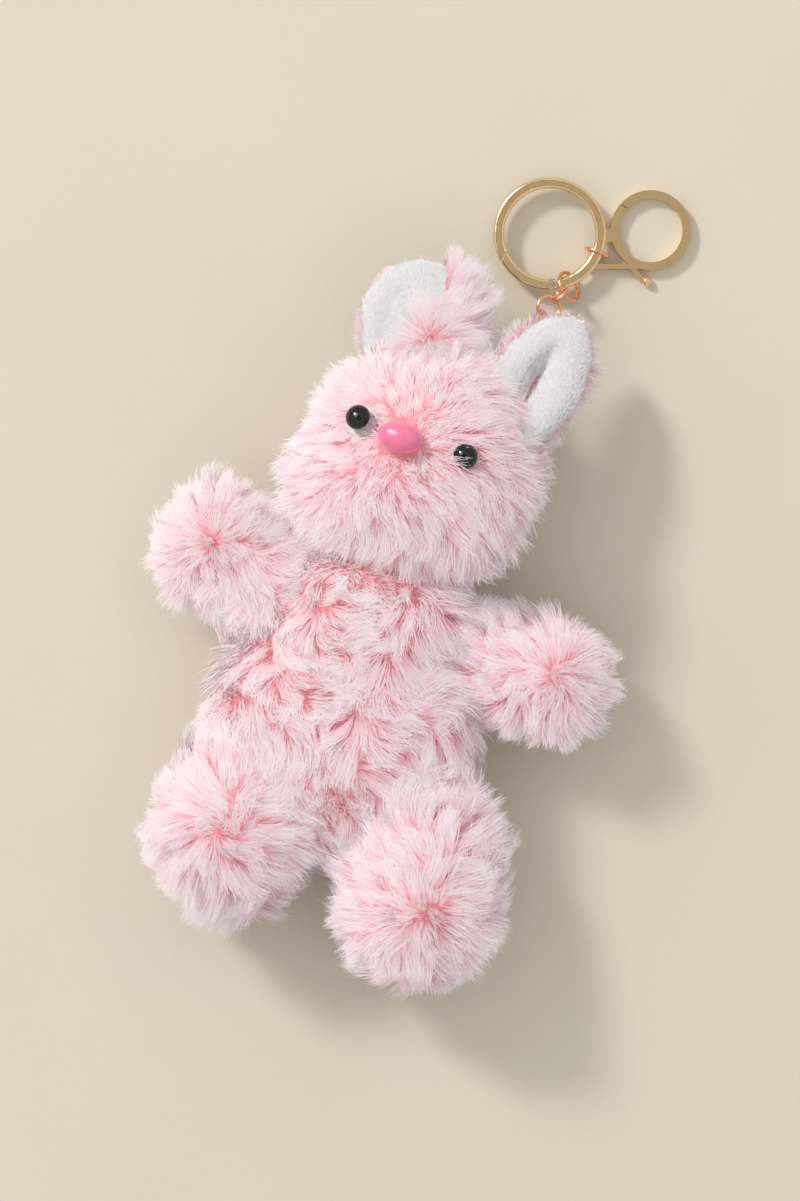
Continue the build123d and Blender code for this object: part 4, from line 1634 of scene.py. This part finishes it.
@dataclass
class Ear(Plush):
    """One ear: pile wrapped round the back and rim, and a padded white plush lining in front."""

    side: Side = Side.LEFT
    clipped_edge: tuple[tuple[float, float], ...] = ((0.1, 11.0), (0.4, 14.0), (0.65, 13.0), (0.88, 8.0))

    @staticmethod
    def spot(shape: EarShape, share: float, wide: float, high: float) -> tuple[float, float, float]:
        """A place on the ear in the row frame.

        Args:
            shape: The ear's outline.
            share: Share of the ear's length.
            wide: How far across from its middle line, in millimetres.
            high: How far over its middle plane, in millimetres.

        Returns:
            The place, in millimetres.
        """
        return tuple(shape.to_row(np.array([[shape.length * share, wide, high]]))[0] / MM)

    def shape(self) -> EarShape:
        """Outline of this ear, laid over its frame nodes."""
        low, high = extent([f"ear_{self.side.value}_outer", f"ear_{self.side.value}_lining"])
        low, high = low / MM, high / MM
        middle_x = (low[0] + high[0]) / 2
        root_y = low[1] + 4
        if self.side is Side.LEFT:
            root = (middle_x - 3.6, root_y - 6, 27.0)
            return EarShape(root, -10.0, high[1] - root_y - 3.5, 29.0, 4.2, 1.2, -0.5, -9.0)
        root = (middle_x - 4.6, root_y - 8, 31.0)
        return EarShape(root, -13.0, high[1] - root_y + 5.5, 24.0, 4.8, 7.5, -0.05, -14.0)

    def build(self) -> None:
        """Build the ear."""
        body = f"ear_{self.side.value}"
        shape = self.shape()
        pad = shape.build(f"{body}_skin")
        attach(pad, body)

        def lining(root: Array, normal: Array) -> Array:
            """True on the plush front."""
            v, u = shape.to_local(root)
            if self.side is Side.LEFT:
                return (normal[:, 2] > -0.1) & (u < 0.1 + 0.25 * v)
            return normal[:, 2] > -0.35

        def nap(root: Array, normal: Array) -> Array:
            """True where the plush nap grows: the front, but not down in the crease."""
            v, u = shape.to_local(root)
            groove = (np.abs(u - shape.crease_side) < 0.06) & (v < 0.62)
            return lining(root, normal) & ~groove

        def wrap(root: Array, normal: Array) -> Array:
            """True where the long pile grows."""
            if self.side is Side.LEFT:
                return ~lining(root, normal)
            return normal[:, 2] <= -0.3

        left = self.side is Side.LEFT
        self.dress_pad(pad, lining)
        hub = (0.4, 8.0, 4.0) if left else (0.4, 0.0, -2.0)
        crown = [
            Bare(self.spot(shape, 0.95, 0.0, -2.0), 8.0, 0.3, 9.0),
            Bare(self.spot(shape, 0.55, 12.0, -1.0), 8.0, 0.6, 8.0),
        ]
        edge = [
            Bare(self.spot(shape, share, -wide, -1.0), 6.0, 0.25, 8.0)
            for share, wide in self.clipped_edge
        ]
        fur = Pile(
            f"{body}_pile",
            26000 if left else 16000,
            12.5 if left else 9.0,
            seed=51 if left else 52,
            flow=(0.25, 0.1, 0.0) if left else (0.0, -0.2, 0.0),
            whorls=[Whorl(self.spot(shape, *hub), 1.0, 60.0, 3.0, 6.0 if left else 0.0)],
            bare=edge if left else crown,
            lift_root=30 if left else 60,
            lift_tip=70 if left else 92,
            lock_lean=14,
            lock_turn=26,
            drift=30,
            keep=wrap,
        )
        plush = Pile(
            f"{body}_plush",
            24000,
            1.5,
            seed=61 if self.side is Side.LEFT else 62,
            flow=(0.0, 1.0, 0.0),
            lock_size=1.0,
            gather=0.2,
            lift_root=25,
            lift_tip=66,
            width=0.2,
            steps=4,
            scatter=0.12,
            curl=0.1,
            shares=(1.0,),
            keep=nap,
        )
        for pile, finish in ((fur, LONG_PILE), (plush, EAR_PLUSH)):
            self.coat(body, pad, pile, finish)
        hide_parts(f"{body}_outer", f"{body}_lining")

    def dress_pad(self, pad: bpy.types.Object, lining: Callable[[Array, Array], Array]) -> None:
        """White cloth where the lining shows and pink backing cloth elsewhere.

        Args:
            pad: The ear pad.
            lining: Test of points and normals that is true on the white front.
        """
        for finish in (LINING, BACKING):
            pad.data.materials.append(self.wardrobe[finish])
        faces = pad.data.polygons
        centre = np.array([tuple(face.center) for face in faces])
        normal = np.array([tuple(face.normal) for face in faces])
        faces.foreach_set("material_index", (~lining(centre, normal)).astype(np.int32))


# ---------------------------------------------------------------- stage


@dataclass
class Studio:
    """Plain pale table, one soft key light from the upper left and a wide fill."""

    wardrobe: Wardrobe
    view_x: float = 3.4
    view_y: float = -14.5
    roll: float = 19.0
    distance: float = 1500.0
    view_height: float = 340.0
    sensor: float = 36.0
    key_height: float = 36.0
    key_turn: float = -26.0
    key_reach: float = 3000.0
    key_size: float = 520.0
    key_power: float = 45.0
    gleam_height: float = 48.0
    gleam_size: float = 1300.0
    gleam_power: float = 26.0
    fill: float = 0.65
    table_half: float = 1.6
    sky_stops: tuple[tuple[float, tuple[float, float, float, float]], ...] = (
        (0.0, (0.50, 0.48, 0.45, 1)),
        (1.0, (0.74, 0.67, 0.57, 1)),
        (0.30, (0.95, 0.96, 0.98, 1)),
        (0.50, (1.20, 1.20, 1.20, 1)),
        (0.62, (0.50, 0.45, 0.38, 1)),
        (0.74, (1.35, 1.34, 1.32, 1)),
        (0.90, (1.30, 1.29, 1.27, 1)),
        (0.955, (0.34, 0.29, 0.23, 1)),
    )

    def build(self) -> None:
        """Build table, lights and camera."""
        self.table()
        self.key_light()
        self.gleam()
        self.world()
        self.camera()

    def table(self) -> None:
        """A wide flat sheet under the bunny."""
        size = self.table_half
        mesh = bpy.data.meshes.new("table")
        corners = [(-size, -size, 0), (size, -size, 0), (size, size, 0), (-size, size, 0)]
        mesh.from_pydata(corners, [], [(0, 1, 2, 3)])
        table = new_mesh_object("table", mesh)
        dress(table, self.wardrobe[TABLE])

    def key_light(self) -> None:
        """Area light that throws the long soft shadows to the lower right."""
        lamp = bpy.data.lights.new("key", "AREA")
        lamp.shape = "DISK"
        lamp.size = self.key_size * MM
        lamp.energy = self.key_power
        lamp.color = (1.0, 0.975, 0.94)
        key = bpy.data.objects.new("key", lamp)
        self.aim(key, self.key_height)
        bpy.context.scene.collection.objects.link(key)

    def aim(self, lamp: bpy.types.Object, height: float) -> None:
        """Place a light at a height angle over the table and point it at the bunny.

        Args:
            lamp: The light.
            height: Height angle, in degrees.
        """
        turn, rise = math.radians(self.key_turn), math.radians(height)
        flat = Vector((math.cos(turn), math.sin(turn), 0.0)) * math.cos(rise)
        way = flat - Vector((0.0, 0.0, math.sin(rise)))
        lamp.location = -way * self.key_reach * MM
        lamp.rotation_euler = way.to_track_quat("-Z", "Y").to_euler()

    def gleam(self) -> None:
        """A wide panel beside the key light that only polished surfaces mirror."""
        panel = bpy.data.lights.new("gleam", "AREA")
        panel.size = self.gleam_size * MM
        panel.energy = self.gleam_power
        lamp = bpy.data.objects.new("gleam", panel)
        bpy.context.scene.collection.objects.link(lamp)
        self.aim(lamp, self.gleam_height)
        lamp.visible_diffuse = False
        lamp.visible_camera = False
        lamp.visible_transmission = False

    def world(self) -> None:
        """Even pale surroundings."""
        world = bpy.data.worlds.new("studio")
        world.use_nodes = True
        nodes, links = world.node_tree.nodes, world.node_tree.links
        sky = nodes["Background"]
        place = nodes.new("ShaderNodeTexCoord")
        split = nodes.new("ShaderNodeSeparateXYZ")
        links.new(place.outputs["Generated"], split.inputs[0])
        ramp = nodes.new("ShaderNodeValToRGB")
        links.new(split.outputs["Z"], ramp.inputs[0])
        stops = self.sky_stops
        for i, (height, colour) in enumerate(stops):
            stop = ramp.color_ramp.elements[i] if i < 2 else ramp.color_ramp.elements.new(height)
            stop.position = height
            stop.color = colour
        links.new(ramp.outputs["Color"], sky.inputs["Color"])
        sky.inputs["Strength"].default_value = self.fill
        bpy.context.scene.world = world
        bpy.context.scene.view_settings.view_transform = "Standard"

    def camera(self) -> None:
        """Camera straight above, turned so that the bunny leans clockwise."""
        lens = bpy.data.cameras.new("camera")
        lens.sensor_fit = "VERTICAL"
        lens.sensor_height = self.sensor
        lens.lens = self.sensor * self.distance / self.view_height
        camera = bpy.data.objects.new("camera", lens)
        camera.location = (self.view_x * MM, self.view_y * MM, self.distance * MM)
        camera.rotation_euler = (0, 0, math.radians(self.roll))
        bpy.context.scene.collection.objects.link(camera)
        bpy.context.scene.camera = camera


def main() -> None:
    """Build the keychain's looks round the frame and set the stage."""
    logging.basicConfig(level=logging.INFO, format="%(name)s %(message)s")
    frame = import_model()
    wardrobe = Wardrobe(ShaderKit())
    Studio(wardrobe).build()
    Hardware(wardrobe, frame["nodes"]).dress_all()
    Head(wardrobe).build()
    Torso(wardrobe).build()
    for side in Side:
        Arm(wardrobe, side=side).build()
        Leg(wardrobe, side=side).build()
        Ear(wardrobe, side=side).build()


if __name__ == "__main__":
    main()
